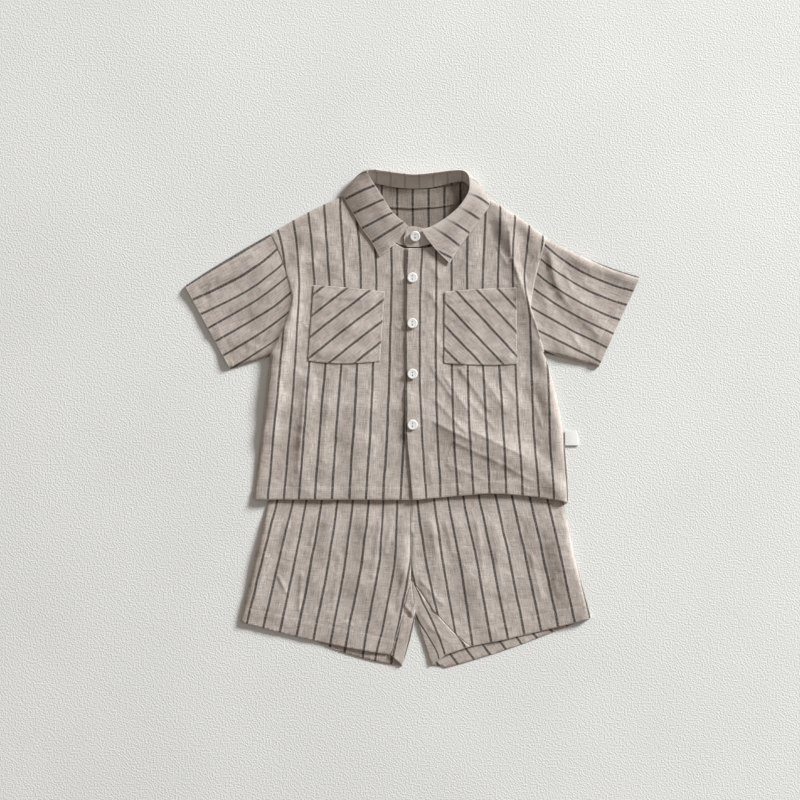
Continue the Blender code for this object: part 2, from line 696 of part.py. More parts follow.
def pocket_loop(pocket):
    sides = [
        (pocket.top_in, pocket.top_out, 0.6),
        (pocket.top_out, pocket.low_out, 0.0),
        (pocket.low_out, pocket.low_in, pocket.dip),
        (pocket.low_in, pocket.top_in, 0.0),
    ]
    runs = []
    for start, end, bow in sides:
        fractions = np.linspace(0.0, 1.0, round(math.dist(start, end) / GRID) + 1)
        runs.append(bowed(start, end, bow, fractions)[:-1])
    return np.vstack(runs)


def shirt_front(name, edges, pocket, lapped, finish, root):
    """One front with its chest pocket, which is made from the front's own points."""
    border, closed = outline(SHIRT, edges)
    loop = pocket_loop(pocket)
    lines = [*closed_runs(border, closed), np.vstack([loop, loop[:1]])]
    flat, triangles = triangulate(border, lines)
    low, high = front_heights(flat, closed_stretches(border, closed), lapped)
    slab(name, flat, triangles, low, high, finish, root)
    middles = np.array([flat[list(t)].mean(axis=0) for t in triangles])
    patch = [t for t, within in zip(triangles, inside(middles, loop)) if within]
    slab(pocket.name, flat, patch, high + GAP, high + GAP + WALL, finish, root)


def shirt_back(finish, root):
    border, closed = outline(SHIRT, BACK)
    border = inner_border(border, closed, ROLL + SEAM)
    flat, triangles = triangulate(border, keep=support_slopes)
    low = shirt_support(flat)
    slab("shirt_back", flat, triangles, low, low + WALL, finish, root)


def neck_facing(finish, root):
    """The strip inside the back neck, from the neck seam down to its stitched lower edge."""
    left, right = np.array(SHIRT["back_neck_l"]), np.array(SHIRT["back_neck_r"])
    fractions = np.linspace(0.06, 0.94, 9)
    top = bowed(left, right, -8.6, fractions) - (0.0, 1.0)
    low_edge = bowed(*FACING_SIDES, FACING_DIP, np.linspace(0.0, 1.0, 9))
    flat, triangles = triangulate(np.vstack([top, low_edge]))
    low = shirt_support(flat) + LAYER
    slab("neck_facing", flat, triangles, low, low + WALL, finish, root)


def sleeve(name, armhole, cuff, top_bow, finish, root):
    """A flattened tube from the armhole to the cuff. cuff is its upper and lower corner."""
    run = np.concatenate([[0.0], np.cumsum(np.hypot(*np.diff(armhole, axis=0).T))])
    across = run / run[-1]
    cuff_line = bowed(cuff[0], cuff[1], 0.0, across)
    stations = np.linspace(0.0, 1.0, SLEEVE_SECTIONS)
    top = bowed(armhole[0], cuff[0], top_bow, stations)
    low = bowed(armhole[-1], cuff[1], 0.0, stations)
    outer, inner = [], []
    for s, top_point, low_point in zip(stations, top, low):
        line = (1 - s) * armhole + s * cuff_line
        line += (1 - across)[:, None] * (top_point - line[0]) + across[:, None] * (low_point - line[-1])
        width = np.hypot(*(line[-1] - line[0]))
        away = np.minimum(across, 1 - across) * width
        puff = fold_height(line, SLEEVE_FOLDS) + side_puff(away)
        turn = np.clip(away / ROLL, 0.0, 1.0)
        upper = FOLD_EDGE + (SLEEVE_HEIGHT + puff - FOLD_EDGE) * turn
        middle = slice(1, -1)
        inward = (line[-1] - line[0]) / width * 1.6
        bottom = np.column_stack([line[middle][::-1], np.zeros(len(line) - 2)])
        outer.append(np.vstack([np.column_stack([line, upper]), bottom]))
        lifted = upper[middle] - WALL - np.maximum(puff[middle] - MOST_PUFF, 0.0)
        first = (*(line[0] + inward), WALL + GAP / 2)
        last = (*(line[-1] - inward), WALL + GAP / 2)
        bottom = np.column_stack([line[middle][::-1], np.full(len(line) - 2, WALL)])
        inner.append(np.vstack([first, np.column_stack([line[middle], lifted]), last, bottom]))
    tube(name, np.array(outer), np.array(inner), finish, root)


def armhole_line(edges, names):
    """The armhole's points from the shoulder to the underarm, moved out by the seam's gap."""
    chosen = [edge for edge in edges if edge.start in names and edge.end in names and not edge.closed]
    runs = [edge_points(SHIRT, edge, edges) for edge in chosen]
    points = np.vstack([*runs, SHIRT[chosen[-1].end]])
    ahead = np.gradient(points, axis=0)
    side = np.column_stack([ahead[:, 1], -ahead[:, 0]]) / np.hypot(*ahead.T)[:, None]
    return points + side * SEAM


def shorts_puff(points, away):
    """The folds fade out under the shirt, where the shorts lie flat."""
    shown = smooth(-96.0, -122.0, points[:, 1])
    return (fold_height(points, SHORTS_FOLDS) + side_puff(away)) * shown


def shorts_front(name, edges, finish, root):
    border, closed = outline(SHORTS, edges)
    border = inset(border, np.where(closed, 0.0, SEAM / 2))
    flat, triangles = triangulate(border, closed_runs(border, closed))
    away = distance(flat, *closed_stretches(border, closed))
    low, high = upper_layer(flat, np.full(len(flat), LAYER), shorts_puff(flat, away), away)
    slab(name, flat, triangles, low, high, finish, root)


def leg_border(edges, fold_ends):
    """A leg panel's outline, inset at its seams and its fold, and the fold's own points."""
    border, closed = outline(SHORTS, edges)
    folded = [
        {edge.start, edge.end} == fold_ends for edge in edges for _ in edge_points(SHORTS, edge, edges)
    ]
    folded = np.array(folded)
    amounts = np.where(folded, FOLD_TURN, np.where(closed, ROLL + SEAM, SEAM / 2))
    border = inset(border, amounts)
    row = [int(i) for i in np.flatnonzero(folded)]
    return border, [*row, (row[-1] + 1) % len(border)]


def shorts_back(name, under_edges, over_edges, fold_ends, finish, root):
    """A back: flat on the surface, then turned over at the inner leg onto the upper side."""
    under_border, under_row = leg_border(under_edges, fold_ends)
    over_border, over_row = leg_border(over_edges, fold_ends)
    fold = under_border[under_row]
    over_border[over_row] = fold
    under_flat, under_triangles = triangulate(under_border, keep=nowhere)
    over_flat, over_triangles = triangulate(over_border)
    under = (under_flat, under_triangles, np.zeros(len(under_flat)), np.full(len(under_flat), WALL))
    level = np.full(len(over_flat), LAYER)
    folded_slab(name, under, (over_flat, over_triangles, level, level + WALL), fold, finish, root)


def nowhere(points):
    return np.zeros(len(points), bool)


def waistband(finish, root):
    """The elastic casing, a flattened loop that is hidden under the shirt."""
    right, left = SHORTS["waist_r"][0] - 1.0, SHORTS["waist_l"][0] + 1.0
    low = SHORTS["waist_r"][1] + SEAM
    stations = np.linspace(right, left, 15)
    thick = 2 * WAISTBAND_WALL + GAP
    outer_side = [(right, thick / 2), *((x, thick) for x in stations[1:-1]), (left, thick / 2)]
    outer_side += [(x, 0.0) for x in stations[-2:0:-1]]
    inner_side = [(right + 1.6, thick / 2), *((x, thick - WAISTBAND_WALL) for x in stations[1:-1])]
    inner_side += [(left - 1.6, thick / 2), *((x, WAISTBAND_WALL) for x in stations[-2:0:-1])]
    rings = []
    for profile in (outer_side, inner_side):
        rings.append(np.array([[(x, y, z) for x, z in profile] for y in (low, WAISTBAND_TOP)]))
    tube("waistband", rings[0], rings[1], finish, root)


def resample(points, steps):
    """Points on a smooth curve through the rows given, with the rows themselves kept."""
    padded = np.vstack([2 * points[0] - points[1], points, 2 * points[-1] - points[-2]])
    made = []
    for a, b, c, d in zip(padded, padded[1:], padded[2:], padded[3:]):
        for t in np.arange(steps) / steps:
            made.append(
                0.5 * (2 * b + (c - a) * t + (2 * a - 5 * b + 4 * c - d) * t**2 + (3 * b - a - 3 * c + d) * t**3)
            )
    return np.vstack([*made, points[-1]])


def collar_columns():
    """The section table as smooth curves: one array of points for each named column."""
    table = resample(np.array(COLLAR, float), SECTION_STEPS)
    names = Section._fields
    value = {name: table[:, i] for i, name in enumerate(names)}
    columns = {
        part: np.column_stack([value[f"{part}_{axis}"] for axis in "xyz"])
        for part in ("seam", "roll", "out", "edge")
    }
    columns["top_z"] = value["top_z"]
    return columns


def collar_leaf(finish, root):
    columns = collar_columns()
    start, middle, end = columns["roll"], columns["out"], columns["edge"]
    pull = 2.0 * middle - (start + end) / 2.0
    grid = []
    for v in np.linspace(0.0, 1.0, LEAF_ROWS):
        grid.append((1 - v) ** 2 * start + 2 * v * (1 - v) * pull + v**2 * end)
    grid = np.array(grid).transpose(1, 0, 2)
    grid[:, :, 2] = np.maximum(grid[:, :, 2], WALL / 2)
    lofted_wall("collar_leaf", grid, finish, root)


def collar_stand(finish, root):
    columns = collar_columns()
    seam, roll = columns["seam"], columns["roll"].copy()
    roll[:, 2] = columns["top_z"]
    way = roll - seam
    top = roll - way / np.linalg.norm(way, axis=1)[:, None] * ROLL_CLEAR
    seam = seam + way / np.linalg.norm(way, axis=1)[:, None] * SEAM
    under = resample(np.array(TAB_UNDER, float), SECTION_STEPS)
    over = resample(np.array(TAB_OVER, float), SECTION_STEPS)
    seam = np.vstack([under[:, :3], seam[1:-1], over[:, :3]])
    top = np.vstack([under[:, 3:], top[1:-1], over[:, 3:]])
    across = np.linspace(0.0, 1.0, STAND_ROWS)[None, :, None]
    grid = seam[:, None, :] * (1 - across) + top[:, None, :] * across
    lofted_wall("collar_stand", grid, finish, root)


def button_mesh(finish):
    """A dished disc with a round rim, turned about its axis, standing on z = 0."""
    radius = BUTTON_RADIUS
    profile = [
        (0.0, 0.0),
        (radius - 0.7, 0.0),
        (radius, 0.6),
        (radius, BUTTON_THICK - 0.6),
        (radius - 0.4, BUTTON_THICK - 0.1),
        (radius - BUTTON_RIM, BUTTON_THICK - 0.1),
        (radius - BUTTON_RIM - 0.7, BUTTON_THICK - BUTTON_DISH),
        (0.0, BUTTON_THICK - BUTTON_DISH),
    ]
    work = bmesh.new()
    points = [work.verts.new((r * MM, 0.0, z * MM)) for r, z in profile]
    edges = [work.edges.new(pair) for pair in zip(points, points[1:])]
    bmesh.ops.spin(
        work, geom=points + edges, cent=(0, 0, 0), axis=(0, 0, 1), angle=2 * math.pi, steps=BUTTON_SIDES
    )
    bmesh.ops.remove_doubles(work, verts=work.verts, dist=1e-6)
    bmesh.ops.recalc_face_normals(work, faces=work.faces)
    mesh = bpy.data.meshes.new("button")
    work.to_mesh(mesh)
    work.free()
    mesh.shade_smooth()
    mesh.set_sharp_from_angle(angle=math.radians(40))
    mesh.materials.append(finish)
    return mesh


def tab_surface():
    """The top of the upper stand tab as a plane: a point and two directions in it."""
    seam, top = np.array(TAB_OVER[1][:3]), np.array(TAB_OVER[1][3:])
    return seam, top - seam


def buttons(finish, root):
    """Each button lies flat on the cloth under it, tilted as that is."""
    mesh = button_mesh(finish)
    border, closed = outline(SHIRT, FRONT_LEFT)
    stretches = closed_stretches(border, closed)
    for number, (x, y) in enumerate(BUTTONS, start=1):
        offsets = np.array([(0, 0), (4, 0), (-4, 0), (0, 4), (0, -4)], float)
        if number == 1:
            seam, way = tab_surface()
            part = (y + offsets[:, 1] - seam[1]) / way[1]
            heights = seam[2] + part * way[2] + WALL / 2
        else:
            heights = front_heights(offsets + (x, y), stretches, True)[1]
        slope_x = (heights[1] - heights[2]) / 8.0
        slope_y = (heights[3] - heights[4]) / 8.0
        made = bpy.data.objects.new(f"button_{number}", mesh)
        bpy.context.scene.collection.objects.link(made)
        made.parent = root
        made.location = (x * MM, y * MM, (heights.max() + GAP + 0.15) * MM)
        made.rotation_euler = Vector((-slope_x, -slope_y, 1.0)).to_track_quat("Z", "Y").to_euler()


def side_label(finish, root):
    """A short tape folded in two, sewn into the left side seam and lying on the surface."""
    width, height, thick = LABEL_SIZE
    border, closed = outline(SHIRT, FRONT_LEFT)
    near = np.abs(border[:, 1] - (LABEL_TOP - height / 2)) < height
    start = border[near & (border[:, 0] > 0), 0].max() + SEAM
    leaf = LABEL_LEAF
    profile = [
        (0.0, 0.0), (width - 0.5, 0.0), (width, thick / 2), (width - 0.5, thick),
        (0.0, thick), (0.0, thick - leaf), (width - 1.2, thick - leaf), (width - 1.0, thick / 2),
        (width - 1.2, leaf), (0.0, leaf),
    ]
    points = [(start + x, y, z) for y in (LABEL_TOP - height, LABEL_TOP) for x, z in profile]
    count = len(profile)
    faces = [(i, (i + 1) % count, count + (i + 1) % count, count + i) for i in range(count)]
    faces += [tuple(range(count)), tuple(range(2 * count - 1, count - 1, -1))]
    make("side_label", points, faces, finish, root)


def main():
    clear_scene()
    root = bpy.data.objects.new("set", None)
    bpy.context.scene.collection.objects.link(root)
    cloth = material("striped_cloth", CLOTH, 0.9)
    white = material("button_white", BUTTON_WHITE, 0.35)
    tape = material("label_tape", TAPE_WHITE, 0.7)

    shirt_back(cloth, root)
    shirt_front("shirt_front_right", FRONT_RIGHT, POCKETS[0], False, cloth, root)
    shirt_front("shirt_front_left", FRONT_LEFT, POCKETS[1], True, cloth, root)
    neck_facing(cloth, root)
    collar_leaf(cloth, root)
    collar_stand(cloth, root)
    right = armhole_line(FRONT_RIGHT, ("shoulder_r", "armhole_r", "underarm_r"))
    left = armhole_line(FRONT_LEFT, ("underarm_l", "armhole_l", "shoulder_l"))[::-1]
    sleeve("sleeve_right", right, (SHIRT["cuff_top_r"], SHIRT["cuff_low_r"]), 1.5, cloth, root)
    sleeve("sleeve_left", left, (SHIRT["cuff_top_l"], SHIRT["cuff_low_l"]), 3.5, cloth, root)
    shorts_front("shorts_front_right", SHORTS_FRONT_RIGHT, cloth, root)
    shorts_front("shorts_front_left", SHORTS_FRONT_LEFT, cloth, root)
    right_fold = {"fold_hem_r", "crotch_low"}
    left_fold = {"fold_hem_l", "crotch_low"}
    shorts_back("shorts_back_right", SHORTS_BACK_RIGHT, WRAP_RIGHT, right_fold, cloth, root)
    shorts_back("shorts_back_left", SHORTS_BACK_LEFT, WRAP_LEFT, left_fold, cloth, root)
    waistband(cloth, root)
    buttons(white, root)
    side_label(tape, root)


main()
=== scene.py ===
"""The looks of a toddler's striped shirt laid on matching shorts, seen from straight above.

Each cloth piece is a thin shell on the solid of its CAD node, made again from the same
sizes with finer points, so that it can take creases, hems and stripes. Tables are in
millimetres, in the frame's directions, and MM turns them into metres when a piece is made.
Stripe places were read from the photograph and are in the pixels of its 800 px frame,
which PX_MM and PX_CENTRE turn into millimetres.
"""

import math
from collections import namedtuple
from functools import partial

import bmesh
import bpy
import numpy as np
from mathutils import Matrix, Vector
from mathutils.geometry import delaunay_2d_cdt


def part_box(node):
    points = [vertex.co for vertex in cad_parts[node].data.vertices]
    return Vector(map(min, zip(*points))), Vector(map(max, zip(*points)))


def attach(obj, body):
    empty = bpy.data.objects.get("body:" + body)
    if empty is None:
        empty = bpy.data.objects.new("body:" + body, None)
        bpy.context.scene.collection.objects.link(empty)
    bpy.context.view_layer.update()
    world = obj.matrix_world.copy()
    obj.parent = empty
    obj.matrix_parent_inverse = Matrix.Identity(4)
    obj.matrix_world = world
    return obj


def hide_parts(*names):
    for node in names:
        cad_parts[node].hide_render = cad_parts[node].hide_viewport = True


MM = 0.001
PX_MM = 1.1  # millimetres on the surface for each pixel of the photograph
PX_CENTRE = (412.5, 417.5)  # the pixel over the frame's origin

WALL = 1.0  # thickness of the CAD cloth
GAP = 0.3
LAYER = WALL + GAP
SHELL = 0.7  # thickness of the visible cloth
SEAM = 0.35
ROLL = 3.4  # width over which a front panel turns down to the surface at a side seam
ROLL_RIM = 0.8
RIM_OUT = 0.25  # how far the middle of a cut edge's rim stands out
FINE = 1.75  # distance between a visible panel's points
HIDDEN_STEP = 5.0
BACK_STEP = 3.0
WRAP_STEP = 1.6
PITCH = 17.4  # from one stripe of the cloth to the next

SHIRT = {
    "neck_r": (-56.7, 251.4),
    "shoulder_r": (-155.7, 201.9),
    "armhole_r": (-130.9, 129.2),
    "underarm_r": (-156.8, 67.1),
    "hem_r": (-175.5, -89.7),
    "under_hem": (8.2, -90.2),
    "under_top": (9.4, 185.4),
    "neck_pit_r": (-9.4, 185.7),
    "neck_l": (68.6, 248.1),
    "neck_turn_l": (67.6, 227.0),
    "neck_pit_l": (12.7, 185.7),
    "lap_top": (-7.4, 185.6),
    "lap_low": (-8.2, -18.2),
    "lap_hem": (-0.6, -90.2),
    "hem_lift_l": (80.9, -83.1),
    "hem_l": (171.1, -93.0),
    "underarm_l": (144.7, 71.0),
    "armhole_l": (129.2, 121.6),
    "shoulder_l": (146.9, 197.5),
    "back_neck_l": (61.0, 260.0),
    "back_neck_r": (-46.8, 259.0),
    "back_hem_turn_l": (158.0, -88.8),
    "back_hem_l": (169.6, -95.6),
    "cuff_top_r": (-250.0, 144.7),
    "cuff_low_r": (-200.2, 53.4),
    "cuff_top_l": (250.0, 154.6),
    "cuff_low_l": (204.1, 55.0),
}
SHORTS = {
    "waist_r": (-105.0, -21.0),
    "waist_mid": (-1.7, -21.0),
    "waist_l": (104.0, -21.0),
    "side_r": (-159.0, -93.0),
    "side_l": (165.6, -93.0),
    "hem_side_r": (-189.8, -223.9),
    "hem_side_l": (196.8, -219.5),
    "crotch": (-1.7, -175.5),
    "crotch_low": (3.2, -220.0),
    "inseam_hem_r": (-23.7, -260.7),
    "inseam_hem_l": (63.3, -251.4),
    "fold_hem_r": (-11.1, -273.2),
    "fold_hem_l": (20.4, -272.5),
    "wrap_notch_l": (36.0, -260.5),
    "back_hem_dip_l": (36.0, -275.2),
    "back_hem_out_l": (156.8, -234.9),
    "back_hem_out_r": (-109.5, -244.8),
}

# One stretch of an outline. bow is how far its middle stands out to the right of the way
# from start to end. closed marks an edge where the upper layer turns down to the surface.
Edge = namedtuple("Edge", "start end bow closed")
SHAPED_EDGES = [
    Edge("neck_r", "shoulder_r", 3.0, True),
    Edge("shoulder_r", "armhole_r", -2.6, False),
    Edge("armhole_r", "underarm_r", -2.4, False),
    Edge("underarm_r", "hem_r", -0.6, True),
    Edge("neck_pit_r", "neck_r", -10.0, False),
    Edge("neck_l", "neck_turn_l", -1.0, False),
    Edge("neck_turn_l", "neck_pit_l", -9.5, False),
    Edge("lap_low", "lap_hem", -1.2, False),
    Edge("hem_lift_l", "hem_l", -2.2, False),
    Edge("hem_l", "underarm_l", 6.5, True),
    Edge("armhole_l", "shoulder_l", -1.8, False),
    Edge("shoulder_l", "neck_l", 2.5, True),
    Edge("hem_lift_l", "back_hem_turn_l", -1.6, False),
    Edge("back_hem_l", "underarm_l", 6.5, True),
    Edge("back_neck_l", "back_neck_r", -8.6, False),
    Edge("waist_r", "side_r", -3.0, True),
    Edge("side_r", "hem_side_r", 0.0, True),
    Edge("hem_side_r", "inseam_hem_r", 3.0, False),
    Edge("inseam_hem_r", "crotch", 1.2, False),
    Edge("crotch", "waist_mid", 0.8, False),
    Edge("crotch", "inseam_hem_l", 5.0, False),
    Edge("inseam_hem_l", "hem_side_l", 1.8, False),
    Edge("hem_side_l", "side_l", -2.0, True),
    Edge("side_l", "waist_l", -3.0, True),
    Edge("back_hem_out_r", "fold_hem_r", 4.0, False),
    Edge("fold_hem_r", "crotch_low", 1.0, False),
    Edge("crotch_low", "waist_mid", 0.8, False),
    Edge("fold_hem_l", "back_hem_dip_l", -1.0, False),
    Edge("back_hem_dip_l", "back_hem_out_l", 2.0, False),
]


def round_of(names):
    """The edges of an outline that runs anticlockwise through these points."""
    shaped = {(edge.start, edge.end): edge for edge in SHAPED_EDGES}
    names = names.split()
    edges = []
    for start, end in zip(names, names[1:] + names[:1]):
        back = shaped.get((end, start), Edge(end, start, 0.0, False))
        edges.append(shaped.get((start, end), Edge(start, end, -back.bow, back.closed)))
    return edges


FRONT_RIGHT = round_of("neck_r shoulder_r armhole_r underarm_r hem_r under_hem under_top neck_pit_r")
FRONT_LEFT = round_of(
    "neck_l neck_turn_l neck_pit_l lap_top lap_low lap_hem hem_lift_l hem_l underarm_l armhole_l shoulder_l"
)
BACK = round_of(
    "neck_r shoulder_r armhole_r underarm_r hem_r hem_lift_l back_hem_turn_l back_hem_l"
    " underarm_l armhole_l shoulder_l neck_l back_neck_l back_neck_r"
)
SHORTS_FRONT_RIGHT = round_of("waist_r side_r hem_side_r inseam_hem_r crotch waist_mid")
SHORTS_FRONT_LEFT = round_of("waist_mid crotch inseam_hem_l hem_side_l side_l waist_l")
SHORTS_BACK_RIGHT = round_of("waist_r side_r hem_side_r back_hem_out_r fold_hem_r crotch_low waist_mid")
SHORTS_BACK_LEFT = round_of(
    "waist_mid crotch_low fold_hem_l back_hem_dip_l back_hem_out_l hem_side_l side_l waist_l"
)
WRAP_RIGHT = round_of("crotch_low crotch inseam_hem_r fold_hem_r")
WRAP_LEFT = round_of("crotch_low fold_hem_l wrap_notch_l inseam_hem_l crotch")

Pocket = namedtuple("Pocket", "name top_in top_out low_out low_in dip slant pass_x pass_y")
POCKETS = [
    # slant: the stripes' angle above +X; pass_x and pass_y: a point on one of them
    Pocket(
        "pocket_right", (-30.6, 138.1), (-108.4, 145.2), (-114.7, 62.7), (-36.0, 62.2),
        dip=3.0, slant=38.0, pass_x=-115.0, pass_y=86.4,
    ),
    Pocket(
        "pocket_left", (113.4, 142.5), (35.4, 138.1), (34.7, 60.0), (115.0, 58.9),
        dip=1.5, slant=-46.8, pass_x=48.6, pass_y=138.1,
    ),
]

# A ridge (height above zero) or trough (below zero) from start to end.
Fold = namedtuple("Fold", "start_x start_y end_x end_y half_width height")


def folds(*rows):
    return [Fold(*row) for row in rows]


SHIRT_FOLDS = folds(
    (-124, 176, -130, 120, 7, 1.4),
    (-130, 120, -140, 72, 7, 1.7),
    (-142, 68, -156, -10, 7, 1.2),
    (-112, 44, -122, -74, 10, 1.7),
    (-88, 52, -97, -64, 10, 1.3),
    (-58, 52, -66, -82, 12, 1.1),
    (-4, 150, -4, -60, 9, 1.0),
    (-86, 222, -92, 160, 12, 1.1),
    (101, 224, 107, 192, 9, 1.3),
    (107, 192, 115, 152, 8, 1.9),
    (115, 152, 131, 104, 8, 2.2),
    (131, 104, 146, 54, 8, 1.9),
    (62, 214, 64, 158, 11, 0.8),
    (26, 62, 66, -4, 9, 1.1),
    (46, 68, 104, 4, 10, 1.0),
    (27, -4, 128, -52, 14, 2.4),
    (30, -40, 110, -80, 14, 0.8),
    (140, -12, 146, -84, 10, 1.4),
)
SHIRT_CREASES = folds(
    (34, -12, 122, -52, 24, 1.6),
    (60, 30, 132, 0, 20, 0.9),
    (150, 60, 156, -80, 13, 0.9),
    (-134, 166, -138, 84, 13, 2.2),
    (-150, 88, -168, -30, 20, 1.7),
    (-146, 98, -156, 0, 12, 0.7),
    (-118, 205, -127, 170, 9, 1.4),
    (-104, 215, -113, 165, 8, 0.9),
    (98, 222, 104, 190, 9, 1.2),
    (84, 214, 80, 160, 9, -0.9),
    (120, 205, 124, 170, 8, -1.0),
    (98, 130, 84, 82, 14, -0.6),
    (160, 0, 158, -80, 9, 1.2),
    (140, 40, 152, 0, 9, 1.0),
    (-24, 180, -30, 60, 10, -0.7),
    (-24, 50, -30, -60, 10, -0.6),
    (-128, 150, -133, 108, 2.2, 0.5),
    (-136, 96, -141, 60, 2.4, 0.6),
    (-146, 40, -152, -30, 2.6, 0.5),
    (-118, 30, -126, -60, 2.8, 0.6),
    (-106, 56, -104, 20, 3.0, -0.5),
    (-92, 20, -99, -50, 2.8, 0.4),
    (-70, 54, -80, 8, 3.0, 0.4),
    (-44, 50, -52, -30, 3.2, 0.35),
    (-24, 46, -28, -64, 3.0, 0.35),
    (-16, 170, -30, 150, 2.6, 0.4),
    (-22, 150, -20, 110, 2.8, 0.35),
    (-100, 200, -112, 156, 3.0, 0.4),
    (-62, 232, -72, 176, 3.2, 0.4),
    (18, 176, 30, 150, 2.4, 0.5),
    (17, 140, 30, 118, 2.2, 0.35),
    (92, 190, 104, 168, 2.4, 0.5),
    (106, 206, 108, 178, 2.0, 0.8),
    (109, 176, 120, 144, 1.9, 0.9),
    (121, 142, 141, 86, 2.0, 0.9),
    (118, 190, 126, 152, 3.0, -0.6),
    (20, 96, 32, 76, 2.2, 0.4),
    (20, 56, 44, 22, 2.2, 0.5),
    (34, 46, 62, 6, 2.3, 0.5),
    (52, 54, 84, 8, 2.4, 0.5),
    (72, 52, 100, 12, 2.4, 0.45),
    (94, 50, 116, 14, 2.5, 0.4),
    (22, 22, 58, -16, 2.3, 0.5),
    (60, 20, 92, -14, 2.4, 0.45),
    (22, -4, 66, -26, 2.2, 0.6),
    (64, -14, 122, -42, 2.2, 0.7),
    (44, -26, 96, -50, 2.4, 0.5),
    (36, -50, 82, -70, 2.4, 0.35),
    (100, -52, 132, -70, 2.6, 0.4),
    (128, 34, 142, -10, 2.8, 0.5),
    (126, 60, 120, 24, 2.8, -0.4),
    (18, -40, 22, -74, 2.4, 0.35),
)
SLEEVE_FOLDS = folds(
    (-160, 178, -226, 146, 11, 1.4),
    (-148, 140, -215, 108, 12, 1.1),
    (-158, 105, -205, 76, 10, 1.3),
    (150, 178, 166, 132, 7, 1.8),
    (172, 176, 236, 152, 6, 1.3),
    (162, 148, 218, 82, 13, 1.7),
    (142, 140, 152, 108, 7, 1.1),
    (152, 84, 196, 68, 10, 0.9),
)
SLEEVE_CREASES = folds(
    (-146, 176, -158, 86, 36, 1.2),
    (146, 186, 148, 90, 34, 1.2),
    (149, 184, 153.5, 166, 3.6, 1.2),
    (152, 168, 158, 144, 3.4, 1.2),
    (143, 182, 149, 160, 3.0, -0.9),
    (166.7, 160, 175, 139, 2.2, 0.7),
    (160, 140, 172, 122, 2.2, 0.6),
    (175, 92, 186, 74, 2.2, 0.6),
    (182, 112, 206, 88, 2.6, 0.5),
    (188, 148, 214, 128, 2.6, 0.4),
    (134, 140, 150, 122, 2.6, 0.5),
    (-140, 90, -170, 78, 2.6, -0.6),
    (-138, 150, -168, 140, 2.6, 0.5),
    (-140, 126, -176, 112, 2.4, 0.5),
    (-170, 170, -214, 148, 2.8, 0.5),
    (-166, 92, -196, 78, 2.4, 0.5),
    (-182, 140, -222, 118, 2.6, 0.4),
    (-228, 128, -238, 122, 2.2, 0.5),
    (-212, 98, -222, 92, 2.0, 0.4),
)
SHORTS_FOLDS = folds(
    (-128, -100, -147, -222, 10, 1.6),
    (-88, -98, -98, -160, 9, 1.5),
    (-100, -160, -114, -236, 11, 0.9),
    (-50, -98, -56, -160, 9, 1.6),
    (-60, -160, -72, -244, 11, 0.9),
    (-10, -98, -9, -176, 9, 1.6),
    (14, -98, 34, -190, 8, 1.0),
    (44, -98, 56, -160, 9, 1.4),
    (60, -160, 82, -236, 11, 1.0),
    (86, -98, 98, -160, 9, 1.3),
    (102, -160, 120, -230, 11, 0.9),
    (122, -98, 134, -160, 9, 1.0),
    (150, -102, 170, -204, 9, 1.3),
)
SHORTS_CREASES = folds(
    (-158, -104, -176, -214, 13, 0.9),
    (162, -96, 186, -224, 34, 1.3),
    (62, -104, 84, -200, 16, 0.7),
    (-18, -100, -26, -236, 46, 0.9),
    (112, -100, 130, -224, 30, -0.6),
    (-147.5, -173, -137, -195, 2.0, 0.7),
    (-121.5, -171, -125, -212, 2.2, 0.6),
    (-1, -128, -2.5, -176, 2.0, -0.8),
    (8, -178, 34, -206, 2.4, 0.6),
    (4, -186, 20, -210, 2.0, -0.5),
    (-8, -168, -18, -202, 2.4, 0.6),
    (-14, -180, -20, -214, 2.0, -0.4),
    (-22, -110, -30, -150, 2.4, 0.5),
    (-36, -112, -44, -176, 2.6, 0.5),
    (-66, -104, -74, -150, 2.6, 0.5),
    (-80, -150, -88, -210, 2.8, 0.4),
    (-104, -104, -112, -140, 2.6, 0.5),
    (-136, -112, -146, -150, 2.6, 0.6),
    (-160, -150, -172, -200, 2.8, 0.4),
    (20, -112, 26, -150, 2.4, 0.5),
    (36, -112, 44, -150, 2.6, 0.5),
    (70, -112, 78, -170, 2.6, 0.5),
    (92, -150, 100, -200, 2.8, 0.4),
    (114, -112, 122, -150, 2.6, 0.5),
    (130, -150, 142, -200, 2.8, 0.5),
    (144, -118, 160, -196, 3.6, 0.25),
)
WRAP_CREASES = folds(
    (-9, -205, 1, -217, 1.7, 1.0),
    (-10, -213, 0, -222, 1.5, -0.8),
    (3, -203, -2, -219, 1.6, 0.9),
    (6, -208, 2, -224, 1.4, -0.7),
    (-8, -222, -14, -244, 2.0, 0.5),
    (8, -214, 22, -234, 2.0, 0.6),
    (22, -232, 40, -246, 2.2, 0.5),
)
CREASE_RISE = 1.8  # how much sharper than in their tables the creases stand
SIDE_PUFF = 1.6
SIDE_PUFF_AT = 7.0
CRUMPLE = 0.55  # height of the fine random creases of linen
RIPPLE = 0.72  # height of its soft random waves
DIP = 0.45  # how far a crease may press a panel down towards the layer below

SHORTS_LEVEL = 2.8
SHORTS_UNDER_SHIRT = [
    (-107, 6), (-107, -21), (-159, -93), (-175, -160),
    (184, -160), (165.6, -93), (106, -21), (106, 6),
]
SHORTS_SHOWN = (-96.0, -122.0)  # y over which the shorts come out from under the hem
SIDE_DROP = (0.0, 20.0)
WAIST_DROP = 34.0
WAIST_MIDDLE = 1.25  # height of the waistband's middle
WAIST_THICK = 2.4
GATHERS = 34
GATHER_DEPTH = 0.08
COLLAR_UNDER = [(-64, 242), (66, 242), (66, 275), (-64, 275)]
COLLAR_DROP = 28.0
COLLAR_PRESS = (-3.0, 15.0)

